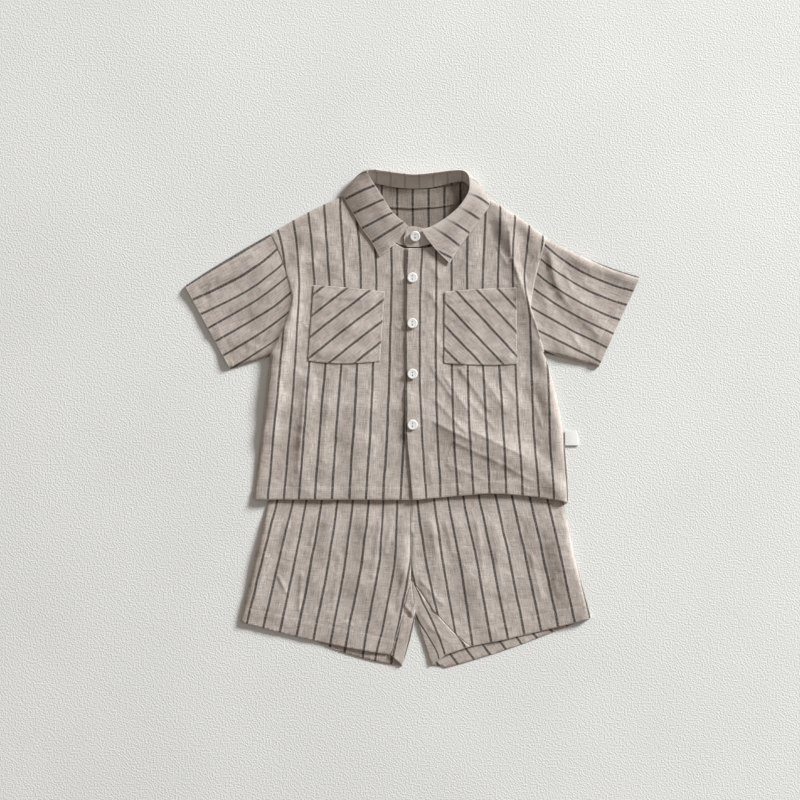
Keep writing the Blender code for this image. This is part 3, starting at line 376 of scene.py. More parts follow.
# Stripe centres in the photograph. Each row is a height and the stripes' x there, by number.
ROWS_FRONT_RIGHT = [
    # y, then stripes 0 to 8 from the side seam towards the buttons
    (205, 270.0, 291.0, 307.5, 324.0, 340.0, 355.0, 373.0, 391.0, 407.0),
    (243, 282.0, 297.0, 312.0, 327.0, 342.5, 359.5, 375.4, 391.3, 407.0),
    (290, 288.0, 300.0, 315.2, 330.2, 345.3, 361.0, 376.4, 391.6, 407.0),
    (364, 281.0, 295.0, 309.0, 325.5, 341.6, 357.3, 373.0, 389.6, 406.6),
    (421, 275.2, 291.0, 305.4, 321.0, 337.2, 354.4, 371.0, 387.8, 405.0),
    (498, 268.0, 284.0, 299.0, 315.0, 332.0, 349.4, 366.0, 383.0, 400.5),
]
ROWS_FRONT_LEFT = [
    # y, then stripes 0 to 10 from the lap towards the side seam
    (210, 406.6, 423.0, 437.0, 452.0, 468.0, 485.4, 500.3, 515.5, 531.0, 546.0, 561.0),
    (243, 407.2, 422.8, 436.3, 451.4, 467.0, 484.2, 499.0, 512.6, 527.3, 541.8, 557.0),
    (283, 406.0, 420.0, 436.0, 451.4, 467.0, 482.8, 497.7, 512.6, 523.0, 538.0, 553.0),
    (311, 405.9, 419.8, 435.8, 451.4, 467.2, 482.8, 498.0, 513.5, 529.4, 543.5, 558.0),
    (364, 406.0, 419.7, 435.8, 451.7, 467.7, 483.0, 499.0, 515.0, 531.0, 547.4, 562.0),
    (400, 406.4, 420.0, 436.0, 452.4, 468.2, 484.6, 501.2, 516.3, 532.2, 548.7, 563.0),
    (440, 405.8, 422.3, 437.6, 453.5, 469.8, 486.7, 503.6, 518.6, 533.8, 549.6, 563.6),
    (497, 412.0, 426.8, 440.8, 457.8, 473.2, 489.2, 506.3, 522.5, 538.8, 553.5, 567.4),
]
ROWS_BACK = [
    (180, 381.5, 397.2, 412.8, 428.8, 444.2, 460.2),
    (510, 381.5, 397.2, 412.8, 428.8, 444.2, 460.2),
]
ROWS_SHORTS_RIGHT = [
    # y, then stripes 0 to 9 from the side towards the middle
    (430, 295.0, 308.0, 320.0, 333.0, 346.0, 359.0, 372.0, 385.0, 398.0, 410.0),
    (500, 277.6, 293.6, 306.5, 322.0, 338.0, 353.0, 369.0, 383.4, 397.2, 412.0),
    (560, 262.5, 279.0, 295.5, 312.0, 329.3, 346.0, 362.4, 380.0, 395.4, 411.0),
    (630, 245.3, 263.1, 280.6, 298.0, 315.2, 333.0, 348.6, 367.4, 382.4, 397.4),
    (660, 238.0, 256.4, 274.4, 292.0, 309.2, 327.6, 343.0, 362.0, 374.0, 391.0),
]
ROWS_SHORTS_LEFT = [
    (430, 416.0, 429.0, 441.0, 455.0, 468.0, 482.0, 495.0, 509.0, 523.0),
    (500, 417.0, 434.0, 447.6, 463.5, 479.7, 496.4, 512.8, 530.5, 547.6),
    (560, 425.5, 442.6, 459.6, 476.5, 492.4, 509.8, 526.0, 543.4, 561.0),
    (630, 441.3, 454.6, 470.0, 488.7, 506.2, 523.6, 540.8, 558.9, 576.2),
    (660, 448.4, 460.0, 474.6, 494.0, 512.0, 529.6, 547.2, 565.6, 583.0),
]
ROWS_WRAP_RIGHT = [
    # y, then the stripe by the inner leg's seam and the one by the roll
    (570, 411.5, 425.0),
    (606, 403.3, 417.5),
    (637.5, 397.2, 409.4),
    (668, 390.0, 402.4),
]
ROWS_WRAP_LEFT = [
    # y, then the stripes from the roll outwards
    (570, 396.0, 409.0, 422.0),
    (599, 408.0, 421.5, 436.0),
    (623, 419.5, 433.6, 449.3),
    (638, 429.5, 438.6, 459.5),
    (654, 440.5, 445.5, 471.0),
]
ROWS_WRAP = {"right": ROWS_WRAP_RIGHT, "left": ROWS_WRAP_LEFT}
# The left back's stripes slant where its hem shows: a point on one of them, and its angle.
BACK_LEFT_STRIPES = (78.3, -251.6, -53.0)
# Where a sleeve's stripes leave the armhole and reach the cuff, as shares from its fold.
SLEEVE_STRIPES = {
    "right": (
        (0.008, 0.125, 0.245, 0.353, 0.477, 0.63, 0.84),
        (0.012, 0.17, 0.345, 0.51, 0.67, 0.84, 1.0),
    ),
    "left": (
        (0.057, 0.18, 0.31, 0.44, 0.595, 0.80, 0.985),
        (0.16, 0.315, 0.48, 0.63, 0.785, 0.94, 1.095),
    ),
}
# How far they sag between the two, as shares of the width.
SLEEVE_SAG = {
    "right": (0.004, 0.050, 0.040, 0.022, 0.022, 0.034, 0.024),
    "left": (0.036, 0.028, 0.018, 0.008, 0.010, 0.004, 0.0),
}

SLEEVE_TOP_BOW = {"right": 1.5, "left": 3.5}
SLEEVE_SECTIONS = 52
ARMHOLE_POINTS = 58
ARMHOLE_BLEND = 9.0  # how fast a sleeve leaves the height of the front beside it

# The collar's sections, as in the CAD, with the stripe numbers at the roll and the edge.
Section = namedtuple(
    "Section",
    "seam_x seam_y seam_z top_z roll_x roll_y roll_z out_x out_y out_z edge_x edge_y edge_z su se",
)
COLLAR = [
    Section(-8.8, 187.4, 1.8, 3.6, -4.3, 209.0, 7.6, -20.4, 189.8, 6.2, -36.4, 176.8, 3.6, 0.58, 0.12),
    Section(-21.4, 194.2, 2.1, 5.0, -10.1, 213.9, 8.2, -26.9, 203.4, 7.0, -44.6, 192.5, 3.6, 1.0, 1.0),
    Section(-31.9, 204.6, 2.3, 6.6, -22.0, 224.4, 9.0, -38.4, 216.2, 7.7, -55.6, 207.4, 3.7, 2.0, 2.0),
    Section(-41.8, 218.4, 2.6, 8.4, -31.4, 238.7, 10.2, -47.4, 231.6, 8.6, -65.0, 223.9, 4.1, 3.0, 3.0),
    Section(-49.5, 232.7, 3.0, 10.0, -41.3, 253.6, 11.6, -57.0, 247.2, 9.6, -73.9, 239.3, 4.6, 4.0, 4.0),
    Section(-53.0, 245.3, 3.3, 11.4, -47.0, 262.9, 12.9, -62.4, 257.0, 9.4, -75.6, 247.6, 3.4, 4.5, 4.5),
    Section(-52.0, 253.6, 3.3, 12.3, -49.6, 268.3, 13.9, -60.6, 264.2, 8.2, -67.4, 255.8, 1.4, 5.0, 5.0),
    Section(-47.0, 257.0, 3.3, 12.6, -45.5, 270.2, 14.2, -52.0, 269.6, 4.8, -57.0, 257.0, -1.0, 5.6, 5.6),
    Section(-37.0, 256.3, 3.3, 12.6, -36.3, 269.6, 14.2, -38.6, 267.6, 3.4, -40.0, 250.4, -2.0, 6.3, 6.3),
    Section(-19.3, 252.9, 3.3, 12.4, -18.7, 267.0, 14.0, -19.0, 264.6, 2.8, -19.0, 246.0, -2.0, 7.4, 7.4),
    Section(0.6, 251.4, 3.3, 12.2, 0.6, 265.1, 13.8, 0.6, 262.6, 2.8, 0.6, 244.0, -2.0, 8.6, 8.6),
    Section(21.4, 252.7, 3.3, 12.4, 20.4, 266.6, 14.0, 20.9, 264.2, 2.8, 21.4, 245.6, -2.0, 9.8, 9.8),
    Section(41.2, 257.4, 3.3, 12.6, 40.2, 269.2, 14.2, 41.4, 267.2, 3.4, 43.6, 249.4, -2.0, 11.0, 11.0),
    Section(54.0, 259.4, 3.3, 12.6, 54.0, 269.6, 14.2, 58.0, 268.6, 4.8, 61.0, 256.6, -1.0, 12.0, 12.0),
    Section(61.8, 254.4, 3.4, 12.4, 60.4, 265.5, 13.9, 67.6, 260.8, 8.4, 73.0, 252.6, 1.2, 12.65, 12.65),
    Section(65.0, 245.0, 3.5, 11.8, 62.4, 256.4, 13.3, 73.0, 252.0, 9.4, 81.0, 245.0, 3.4, 13.35, 13.35),
    Section(64.4, 233.6, 3.5, 10.8, 60.6, 245.0, 12.2, 73.2, 240.0, 9.4, 84.0, 233.0, 4.8, 14.0, 14.0),
    Section(57.9, 220.4, 3.4, 9.4, 50.6, 230.2, 10.8, 62.6, 224.4, 8.8, 73.6, 217.3, 4.4, 15.0, 15.0),
    Section(46.3, 207.2, 3.3, 7.9, 35.8, 217.8, 9.2, 49.8, 210.4, 8.2, 62.7, 202.4, 4.0, 16.0, 16.0),
    Section(32.4, 196.4, 3.3, 6.8, 20.9, 209.0, 8.6, 36.8, 199.2, 7.6, 51.7, 188.1, 4.0, 17.0, 17.0),
    Section(16.0, 188.0, 3.4, 6.4, 10.0, 205.7, 8.4, 22.0, 188.2, 7.2, 40.9, 169.6, 4.2, 17.25, 18.37),
]
Tab = namedtuple("Tab", "seam_x seam_y seam_z top_x top_y top_z")
TAB_UNDER = [
    Tab(7.0, 187.4, 1.8, 6.6, 205.4, 2.7),
    Tab(-0.6, 187.4, 1.8, -0.6, 206.6, 3.0),
]
TAB_OVER = [
    Tab(7.2, 187.3, 3.2, 5.5, 209.0, 6.3),
    Tab(-1.6, 187.3, 3.2, -1.6, 209.6, 6.1),
    Tab(-6.6, 187.3, 3.2, -6.6, 207.0, 5.8),
    Tab(-9.4, 187.3, 3.2, -9.5, 200.8, 5.0),
]
LEAF_ROWS = 26
LEAF_THICK = 0.9
STAND_THICK = 0.8
STAND_ROWS = 14
SECTION_STEPS = 9
LEAF_LIP = 1.2  # the leaf's fold reaches this far over the stand's upper edge
STAND_STRIPE_X = 7.5  # of the stripe on the stand near the middle of the back
STAND_PITCH = 15.9
STAND_BACK_Y = 252.0
TAB_ROUND = 4.6  # length over which the tab's end narrows
TAB_TOP_Y = 212.0
TAB_SHIFT = 0.3  # of the stripes on the tab, in stripe widths
LEAF_STITCH = 3.2  # from the leaf's edge to its stitches
LEAF_WIDTH = 40.0

FACING_SIDES = [(-36.0, 232.0), (50.0, 234.4)]
FACING_DIP = 3.6

BUTTONS = [(2.8, 198.6), (-0.3, 153.5), (-0.3, 103.4), (-0.1, 47.9), (-0.1, -7.9)]
BUTTON_RADIUS = 5.65
BUTTON_THICK = 2.1
BUTTON_HOLE_RADIUS = 0.75
BUTTON_HOLE_AT = 1.75
BUTTON_HOLE_FLOOR = 1.46  # height from which the thread goes over the bridge
BUTTON_THREAD_RADIUS = 0.13
TOP_BUTTON_TILT = 8.0
BUTTONHOLE_LENGTH = 14.0
BUTTONHOLE_HALF = 0.55

LABEL_SIZE = (14.4, 15.3, 1.0)
LABEL_SKEW = 0.17  # its top is this share narrower than its foot
LABEL_TOP = -15.2
TAPE_THICK = 0.35
LABEL_TUCK = 0.3  # how far the tape starts inside the seam

# Where the hem of a shirt front is stitched, before the hem's width is added to y.
HEM_STITCHES_RIGHT = [((-172.5, -89.7), (-10.0, -90.0))]
HEM_STITCHES_LEFT = [((2.0, -90.2), (80.9, -83.1)), ((80.9, -83.1), (166.0, -90.0))]
PLACKET_X = 13.5  # the line of stitches that holds the turned button edge
PLACKET_STITCHES = ((PLACKET_X, 182.0), (14.5, -76.0))
PLACKET_FADE = (190.0, 180.0)
LAP_FADE = (13.0, 40.0)  # x over which the lapped front comes down from the one below
LAP_HEM_START = (9.0, -89.5)

HEM_STEP = 0.35  # how much higher the doubled cloth of a hem lies
GROOVE_DEPTH = 0.22
GROOVE_HALF = 1.6
SHIRT_HEM = 13.0
MOUTH_RISE = 0.45  # of the hem at a pocket's mouth
MOUTH_FADE = (11.0, 13.5)
SHORTS_HEM = 16.0
CUFF_HEM = 13.0
EDGE_STITCH = 2.0  # from a pocket's or collar's edge to its stitches
STITCH_LENGTH = 2.3
STITCH_GAP = 0.9
THREAD_RADIUS = 0.2
STITCH_SIDES = 5

CLOTH_LIGHT = (0.61, 0.547, 0.500, 1.0)
CLOTH_DARK = (0.335, 0.281, 0.244, 1.0)
STRIPE_DARK = (0.050, 0.040, 0.038, 1.0)
STRIPE_FLECK = (0.27, 0.23, 0.20, 1.0)
# painted shade for crevices, under edges and between layers
CREVICE_PAINTED_SHADE = (0.13, 0.095, 0.07, 1.0)
# pale edge colour: partly wear, partly painted highlight
EDGE_WEAR_AND_HIGHLIGHT = (0.72, 0.665, 0.615, 1.0)
INSIDE_PAINTED_SHADE = (0.60, 0.575, 0.545, 1.0)  # painted shade on the cloth seen inside the neck: the back panel and the neck facing
THREAD_COLOUR = (0.62, 0.56, 0.48, 1.0)
BUTTON_COLOUR = (0.84, 0.83, 0.81, 1.0)
BUTTON_THREAD = (0.66, 0.64, 0.61, 1.0)
LABEL_COLOUR = (0.85, 0.84, 0.81, 1.0)
FLOOR_COLOUR = (0.76, 0.765, 0.745, 1.0)
STRIPE_HALF = 1.3  # half the width of a stripe

CAMERA_HEIGHT = 1.6
FRAME_WIDTH = 880.0  # of the surface, across the whole photograph
CAMERA_XY = (-13.75, 19.25)
SENSOR = 36.0
SKY_COLOUR = (1.0, 0.905, 0.83, 1.0)
SKY_STRENGTH = 0.32
KEY_PLACE = (7.2, 6.0, 3.45)  # metres
KEY_SIZE = 2.2
KEY_POWER = 2040.0
KEY_COLOUR = (0.955, 0.985, 1.0)


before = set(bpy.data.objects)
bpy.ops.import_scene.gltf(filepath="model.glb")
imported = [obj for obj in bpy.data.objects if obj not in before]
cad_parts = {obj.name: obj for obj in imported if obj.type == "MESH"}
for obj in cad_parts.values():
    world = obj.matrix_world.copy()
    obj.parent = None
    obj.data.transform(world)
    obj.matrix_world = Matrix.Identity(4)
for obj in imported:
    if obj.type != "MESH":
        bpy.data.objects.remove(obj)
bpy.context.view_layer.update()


def smooth(low, high, value):
    """0 at low and 1 at high, with level ends."""
    part = np.clip((value - low) / (high - low), 0.0, 1.0)
    return part * part * (3.0 - 2.0 * part)


def bowed(start, end, bow, fractions):
    """Points on a shallow arc; bow is to the right of the way from start to end."""
    start = np.array(start, float)
    way = np.array(end, float) - start
    side = np.array((way[1], -way[0])) / np.hypot(*way)
    fractions = np.asarray(fractions, float)[:, None]
    return start + way * fractions + side * 4.0 * bow * fractions * (1.0 - fractions)


def edge_points(marks, edge, step):
    """An outline's points along one edge, without its last one."""
    start, end = marks[edge.start], marks[edge.end]
    count = max(2, round(math.dist(start, end) / step) + 1)
    return bowed(start, end, edge.bow, np.linspace(0.0, 1.0, count))[:-1]


def outline(marks, edges, step):
    """The outline's points, and for the stretch after each point whether it is closed."""
    runs = [edge_points(marks, edge, step) for edge in edges]
    closed = [edge.closed for edge, run in zip(edges, runs) for _ in run]
    return np.vstack(runs), np.array(closed)


def inset(points, amounts):
    """The outline with each stretch moved inwards by its own amount."""
    ahead = np.roll(points, -1, axis=0) - points
    normal = np.column_stack([-ahead[:, 1], ahead[:, 0]]) / np.hypot(*ahead.T)[:, None]
    moved = points.copy()
    for i in range(len(points)):
        sides = np.array([normal[i - 1], normal[i]])
        wanted = np.array([amounts[i - 1], amounts[i]])
        if abs(np.linalg.det(sides)) > 0.3:
            moved[i] += np.linalg.solve(sides, wanted)
        else:
            middle = sides.sum(axis=0) / np.hypot(*sides.sum(axis=0))
            moved[i] += middle * wanted.max()
    return moved


def distance(points, starts, ends):
    """Distance from each point to the nearest of the stretches."""
    nearest = np.full(len(points), np.inf)
    for start, end in zip(starts, ends):
        way = end - start
        along = np.clip((points - start) @ way / max(way @ way, 1e-9), 0.0, 1.0)
        nearest = np.minimum(nearest, np.hypot(*(points - start - along[:, None] * way).T))
    return nearest


def inside(points, polygon):
    result = np.zeros(len(points), bool)
    for (ax, ay), (bx, by) in zip(polygon, np.roll(polygon, -1, axis=0)):
        spans = (ay > points[:, 1]) != (by > points[:, 1])
        if ay != by:
            result ^= spans & (points[:, 0] < (bx - ax) * (points[:, 1] - ay) / (by - ay) + ax)
    return result


def signed_distance(points, polygon):
    """Distance to a polygon, below zero inside it."""
    polygon = np.array(polygon, float)
    away = distance(points, polygon, np.roll(polygon, -1, axis=0))
    return np.where(inside(points, polygon), -away, away)


def lattice(polygon, spacing):
    """The points of one triangular lattice that lie in a polygon."""
    low, high = polygon.min(axis=0), polygon.max(axis=0)
    height = spacing * math.sqrt(3) / 2
    rows = np.arange(math.floor(low[1] / height), math.ceil(high[1] / height) + 1)
    columns = np.arange(math.floor(low[0] / spacing) - 1, math.ceil(high[0] / spacing) + 1)
    across, up = np.meshgrid(columns * spacing, rows * height)
    across = across + (rows % 2)[:, None] * spacing / 2
    points = np.column_stack([across.ravel(), up.ravel()])
    return points[inside(points, polygon)]


def triangulate(border, lines, spacing):
    """A flat triangulation of an outline that keeps the lines inside it as edges."""
    lines = [np.vstack([border, border[:1]]), *lines]
    inner = lattice(border, spacing)
    for line in lines:
        inner = inner[distance(inner, line[:-1], line[1:]) > 0.42 * spacing]
    edges = []
    first = 0
    for line in lines:
        edges += [(first + i, first + i + 1) for i in range(len(line) - 1)]
        first += len(line)
    points = np.vstack([*lines, inner])
    made = delaunay_2d_cdt([Vector(p) for p in points], edges, [], 1, 1e-3)
    flat = np.array([tuple(v) for v in made[0]])
    triangles = np.array([tuple(face) for face in made[2]])
    a, b, c = (flat[triangles[:, i]] for i in range(3))
    turn = (b - a)[:, 0] * (c - a)[:, 1] - (b - a)[:, 1] * (c - a)[:, 0]
    triangles[turn < 0] = triangles[turn < 0][:, ::-1]
    return flat, triangles[np.abs(turn) > 1e-4]


def closed_runs(points, closed, width):
    """Lines inside each closed stretch, at one distance from it."""
    ring = inset(points, np.where(closed, width, 0.0))
    count = len(points)
    runs = []
    for start in [i for i in range(count) if closed[i] and not closed[i - 1]]:
        length = 1
        while closed[(start + length) % count]:
            length += 1
        runs.append(ring[[(start + i) % count for i in range(2, length - 1)]])
    return runs


def fold_rings(border, closed):
    """The lines that keep the roll of the closed edges round."""
    return [run for width in (0.5, 1.6) for run in closed_runs(border, closed, width)]


def used_only(flat, triangles, *columns):
    """The points that the triangles use, with their columns, and the triangles renumbered."""
    used = np.unique(triangles)
    number = np.zeros(len(flat), int)
    number[used] = np.arange(len(used))
    return (flat[used], number[triangles], *(column[used] for column in columns))


def add_object(name, data):
    made = bpy.data.objects.new(name, data)
    bpy.context.scene.collection.objects.link(made)
    return made


def make(name, points, faces, uv, finish, wear_and_highlight=None):
    """An object of these points in millimetres, with uv for each point, in stripe widths.

    The last argument says how pale each point is: partly the wear of cloth where it bends over an edge,
    partly painted highlight where the edge catches the light.
    """
    mesh = bpy.data.meshes.new(name)
    faces = [tuple(map(int, face)) for face in faces]
    mesh.from_pydata((np.asarray(points, float) * MM).tolist(), [], faces)
    layer = mesh.uv_layers.new(name="cloth")
    corners = np.empty(len(mesh.loops), np.int32)
    mesh.loops.foreach_get("vertex_index", corners)
    layer.data.foreach_set("uv", np.asarray(uv, np.float32)[corners].ravel())
    if wear_and_highlight is not None:
        pale = mesh.attributes.new("wear_and_highlight", "FLOAT", "POINT")
        pale.data.foreach_set("value", np.asarray(wear_and_highlight, np.float32))
    work = bmesh.new()
    work.from_mesh(mesh)
    bmesh.ops.recalc_face_normals(work, faces=work.faces)
    work.to_mesh(mesh)
    work.free()
    mesh.shade_smooth()
    mesh.set_sharp_from_angle(angle=math.radians(60))
    mesh.materials.append(finish)
    return add_object(name, mesh)


def rim_of(triangles):
    """The directed edges that only one triangle has."""
    sides = np.vstack([triangles[:, [0, 1]], triangles[:, [1, 2]], triangles[:, [2, 0]]])
    known = {tuple(side) for side in sides.tolist()}
    return [(a, b) for a, b in known if (b, a) not in known]


def slab(name, flat, triangles, low, high, uv, finish, pale=0.0):
    """A cloth shell between two heights over a flat triangulation, with a rounded rim."""
    flat, triangles, low, high, uv = used_only(flat, triangles, low, high, uv)
    count = len(flat)
    rim = rim_of(triangles)
    outward = np.zeros_like(flat)
    for a, b in rim:
        way = flat[b] - flat[a]
        normal = np.array((way[1], -way[0])) / np.hypot(*way)
        outward[a] += normal
        outward[b] += normal
    on_rim = sorted({a for a, _ in rim})
    number = {a: 2 * count + i for i, a in enumerate(on_rim)}
    pushed = outward[on_rim] / np.hypot(*outward[on_rim].T)[:, None] * RIM_OUT
    middle = np.column_stack([flat[on_rim] + pushed, (low[on_rim] + high[on_rim]) / 2])
    points = np.vstack([np.column_stack([flat, low]), np.column_stack([flat, high]), middle])
    faces = triangles[:, ::-1].tolist() + (triangles + count).tolist()
    for a, b in rim:
        faces += [(a, b, number[b], number[a]), (number[a], number[b], b + count, a + count)]
    # The rim is paler: partly the wear of a cut edge, partly painted highlight.
    wear_and_highlight = np.zeros(len(points))
    wear_and_highlight[2 * count :] = pale
    wear_and_highlight[count + np.array(on_rim)] = pale
    return make(name, points, faces, np.vstack([uv, uv, uv[on_rim]]), finish, wear_and_highlight)


def grid_wall(name, grid, uv, finish, thickness=SHELL, wear_and_highlight=None):
    """A cloth shell along a grid of points, rows by columns, with a rounded rim."""
    along = np.gradient(grid, axis=0)
    across = np.gradient(grid, axis=1)
    normal = np.cross(along, across)
    normal /= np.maximum(np.linalg.norm(normal, axis=2)[:, :, None], 1e-9)
    rows, columns = grid.shape[:2]
    count = rows * columns
    points = np.vstack([(grid + side * normal * thickness / 2).reshape(-1, 3) for side in (1, -1)])
    points[:, 2] = np.maximum(points[:, 2], 0.0)
    number = np.arange(count).reshape(rows, columns)
    quads = np.stack([number[:-1, :-1], number[1:, :-1], number[1:, 1:], number[:-1, 1:]], axis=-1)
    quads = quads.reshape(-1, 4)
    border = [*number[0, :], *number[1:, -1], *number[-1, -2::-1], *number[-2:0:-1, 0]]
    rim = [(a, b, b + count, a + count) for a, b in zip(border, border[1:] + border[:1])]
    faces = quads.tolist() + (quads[:, ::-1] + count).tolist() + rim
    flat_uv = uv.reshape(-1, 2)
    pale = None if wear_and_highlight is None else np.concatenate([wear_and_highlight.ravel(), wear_and_highlight.ravel()])
    return make(name, points, faces, np.vstack([flat_uv, flat_uv]), finish, pale)


def fold_height(points, folds):
    """Summed height of the folds at each point."""
    total = np.zeros(len(points))
    for fold in folds:
        start = np.array((fold.start_x, fold.start_y), float)
        way = np.array((fold.end_x, fold.end_y), float) - start
        length = np.hypot(*way)
        along = (points - start) @ way / length
        aside = np.abs((points - start) @ np.array((-way[1], way[0]))) / length
        fade = smooth(-fold.half_width, fold.half_width, along)
        fade = fade * smooth(-fold.half_width, fold.half_width, length - along)
        sharpness = 2.0 if fold.half_width > 4.5 else 1.3
        total += fold.height * np.exp(-((aside / fold.half_width) ** sharpness)) * fade
    return total


def waves(points, size, seed):
    """Smooth random waves from -1 to 1, about size from crest to crest."""
    draw = np.random.default_rng(seed)
    total = np.zeros(len(points))
    count = 14
    for _ in range(count):
        angle = draw.uniform(0, math.pi)
        phase = draw.uniform(0, 2 * math.pi)
        stretch = draw.uniform(0.6, 1.5)
        way = np.array((math.cos(angle), math.sin(angle))) * 2 * math.pi / (size * stretch)
        total += np.sin(points @ way + phase)
    return total / math.sqrt(count / 2) / 2


def relief(points, seed, strength=1.0):
    """The soft waves and the sharper creases of linen that has been in use and laid down."""
    bent = points + 5.0 * np.column_stack([waves(points, 40, seed + 1), waves(points, 44, seed + 2)])
    total = RIPPLE * waves(points, 46, seed) + 0.16 * waves(points, 15, seed + 5)
    for size, share, width in ((34, 1.0, 0.13), (17, 0.5, 0.2)):
        crease = (1.0 - np.clip(np.abs(waves(bent, size, seed + size)) / width, 0.0, 1.0)) ** 2
        total += CRUMPLE * share * crease * smooth(-0.1, 0.7, waves(points, 56, seed + size + 1))
    return strength * total


def shirt_support(points):
    """Height of what the shirt lies on."""
    away = signed_distance(points, SHORTS_UNDER_SHIRT)
    beyond_waist = smooth(-50.0, 0.0, points[:, 1])
    reach = SIDE_DROP[1] + (WAIST_DROP - SIDE_DROP[1]) * beyond_waist
    shorts = SHORTS_LEVEL * (1.0 - smooth(0.0, 1.0, (away - SIDE_DROP[0]) / (reach - SIDE_DROP[0])))
    collar = signed_distance(points, COLLAR_UNDER)
    return shorts + LAYER * (1.0 - smooth(0.0, COLLAR_DROP, collar))


def side_puff(away):
    part = away / SIDE_PUFF_AT
    return SIDE_PUFF * part * np.exp(1.0 - part)


def round_turn(turn):
    """How a roll rises, from 0 at its edge to 1 where it is done."""
    return np.sqrt(1.0 - (1.0 - turn) ** 2)


def upper_layer(full, away):
    """Bottom and top of an upper shell that turns down to the surface at its closed edges."""
    turn = np.clip(away / ROLL, 0.0, 1.0)
    rounded = round_turn(turn)
    high = ROLL_RIM + (full - ROLL_RIM) * rounded
    low = np.minimum((full - SHELL) * rounded, high - 0.45)
    return np.maximum(low, 0.0) * np.minimum(turn * 2.0, 1.0), high


def closed_stretches(points, closed):
    ends = np.roll(points, -1, axis=0)
    return points[closed], ends[closed]


def directions(start, end):
    """The direction from start to end, and the one to its left."""
    way = np.array(end, float) - np.array(start, float)
    way = way / np.hypot(*way)
    return way, np.array((-way[1], way[0]))


def hem_step(points, start, end, width):
    """The doubled cloth of a hem along the line from start to end, with its stitched groove."""
    away = np.abs((points - np.array(start)) @ directions(start, end)[1])
    groove = -GROOVE_DEPTH * np.exp(-(((away - width) / GROOVE_HALF) ** 2))
    return HEM_STEP * (1.0 - smooth(width - 0.8, width + 1.2, away)) + groove


def front_full(points, away, lapped):
    """Top of a shirt front away from its closed edges."""
    base = shirt_support(points) + LAYER + WALL
    collar_edge = [(row.edge_x, row.edge_y) for row in COLLAR]
    free = smooth(*COLLAR_PRESS, signed_distance(points, collar_edge))
    puff = fold_height(points, SHIRT_FOLDS) + side_puff(away)
    fine = CREASE_RISE * fold_height(points, SHIRT_CREASES) + relief(points, 21 if lapped else 11)
    step = hem_step(points, SHIRT["hem_r"], SHIRT["under_hem"], SHIRT_HEM)
    if lapped:
        base = base + LAYER * (1.0 - smooth(*LAP_FADE, points[:, 0]))
        placket = np.exp(-(((points[:, 0] - PLACKET_X) / GROOVE_HALF) ** 2))
        placket = placket * smooth(*PLACKET_FADE, points[:, 1])
        step = hem_step(points, LAP_HEM_START, SHIRT["hem_lift_l"], SHIRT_HEM) - 0.25 * placket
    else:
        fine = fine * smooth(-3.0, -14.0, points[:, 0])
    return base + np.maximum((puff + fine) * free, -DIP) + step


def stripe_number(points, rows):
    """Which stripe a point is on, with whole numbers at the stripes' centres."""
    table = np.array(rows, float)
    levels = (PX_CENTRE[1] - table[::-1, 0]) * PX_MM
    places = (table[::-1, 1:] - PX_CENTRE[0]) * PX_MM
    offsets = np.linspace(-24.0, 24.0, 13)
    weights = np.cos(offsets / 26.0 * math.pi / 2) ** 2
    weights /= weights.sum()
    blurred = np.zeros((len(points), places.shape[1]))
    for offset, weight in zip(offsets, weights):
        for k in range(places.shape[1]):
            blurred[:, k] += weight * np.interp(points[:, 1] + offset, levels, places[:, k])
    first = blurred[:, :1] - PITCH * np.arange(12, 0, -1)
    last = blurred[:, -1:] + PITCH * np.arange(1, 13)
    places = np.hstack([first, blurred, last])
    left = np.clip((places <= points[:, :1]).sum(axis=1) - 1, 0, places.shape[1] - 2)
    row = np.arange(len(points))
    share = (points[:, 0] - places[row, left]) / (places[row, left + 1] - places[row, left])
    return left - 12 + share


def wobble(points, seed):
    """A hand-laid cloth's small unevenness, in stripe widths."""
    return 0.012 * waves(points, 30, seed) + 0.018 * waves(points, 80, seed + 1)


def panel_uv(points, rows, seed):
    return np.column_stack([stripe_number(points, rows) + wobble(points, seed), points[:, 1] / PITCH])


def slanted_uv(points, pass_x, pass_y, angle):
    """Straight stripes at an angle above +X, one of them through the given point."""
    turn = math.radians(angle)
    along = np.array((math.cos(turn), math.sin(turn)))
    across = np.array((-along[1], along[0]))
    offset = points - (pass_x, pass_y)
    return np.column_stack([offset @ across / PITCH + wobble(points, 5), offset @ along / PITCH])


def node(tree, kind, inputs=None, **settings):
    """A shader node with its settings and inputs; an input is a value or another node's socket."""
    made = tree.nodes.new(kind)
    for name, value in settings.items():
        setattr(made, name, value)
    for name, value in (inputs or {}).items():
        if isinstance(value, bpy.types.NodeSocket):
            tree.links.new(value, made.inputs[name])
        else:
            made.inputs[name].default_value = value
    return made


def calc(tree, operation, first, second=0.0, third=0.0):
    made = node(tree, "ShaderNodeMath", {0: first, 1: second, 2: third}, operation=operation)
    return made.outputs[0]


def ramp(tree, value, low, high, start=0.0, end=1.0):
    """value from low to high as start to end, with level ends."""
    inputs = {"Value": value, "From Min": low, "From Max": high, "To Min": start, "To Max": end}
    return node(tree, "ShaderNodeMapRange", inputs, interpolation_type="SMOOTHSTEP").outputs[0]


def noise(tree, vector, scale, detail=2.0, roughness=0.5):
    inputs = {"Vector": vector, "Scale": scale, "Detail": detail, "Roughness": roughness}
    return node(tree, "ShaderNodeTexNoise", inputs).outputs["Fac"]


def mix(tree, factor, first, second, blend="MIX"):
    made = node(tree, "ShaderNodeMix", data_type="RGBA", blend_type=blend)
    for socket, value in ((made.inputs[0], factor), (made.inputs[6], first), (made.inputs[7], second)):
        if isinstance(value, bpy.types.NodeSocket):
            tree.links.new(value, socket)
        else:
            socket.default_value = value
    return made.outputs[2]


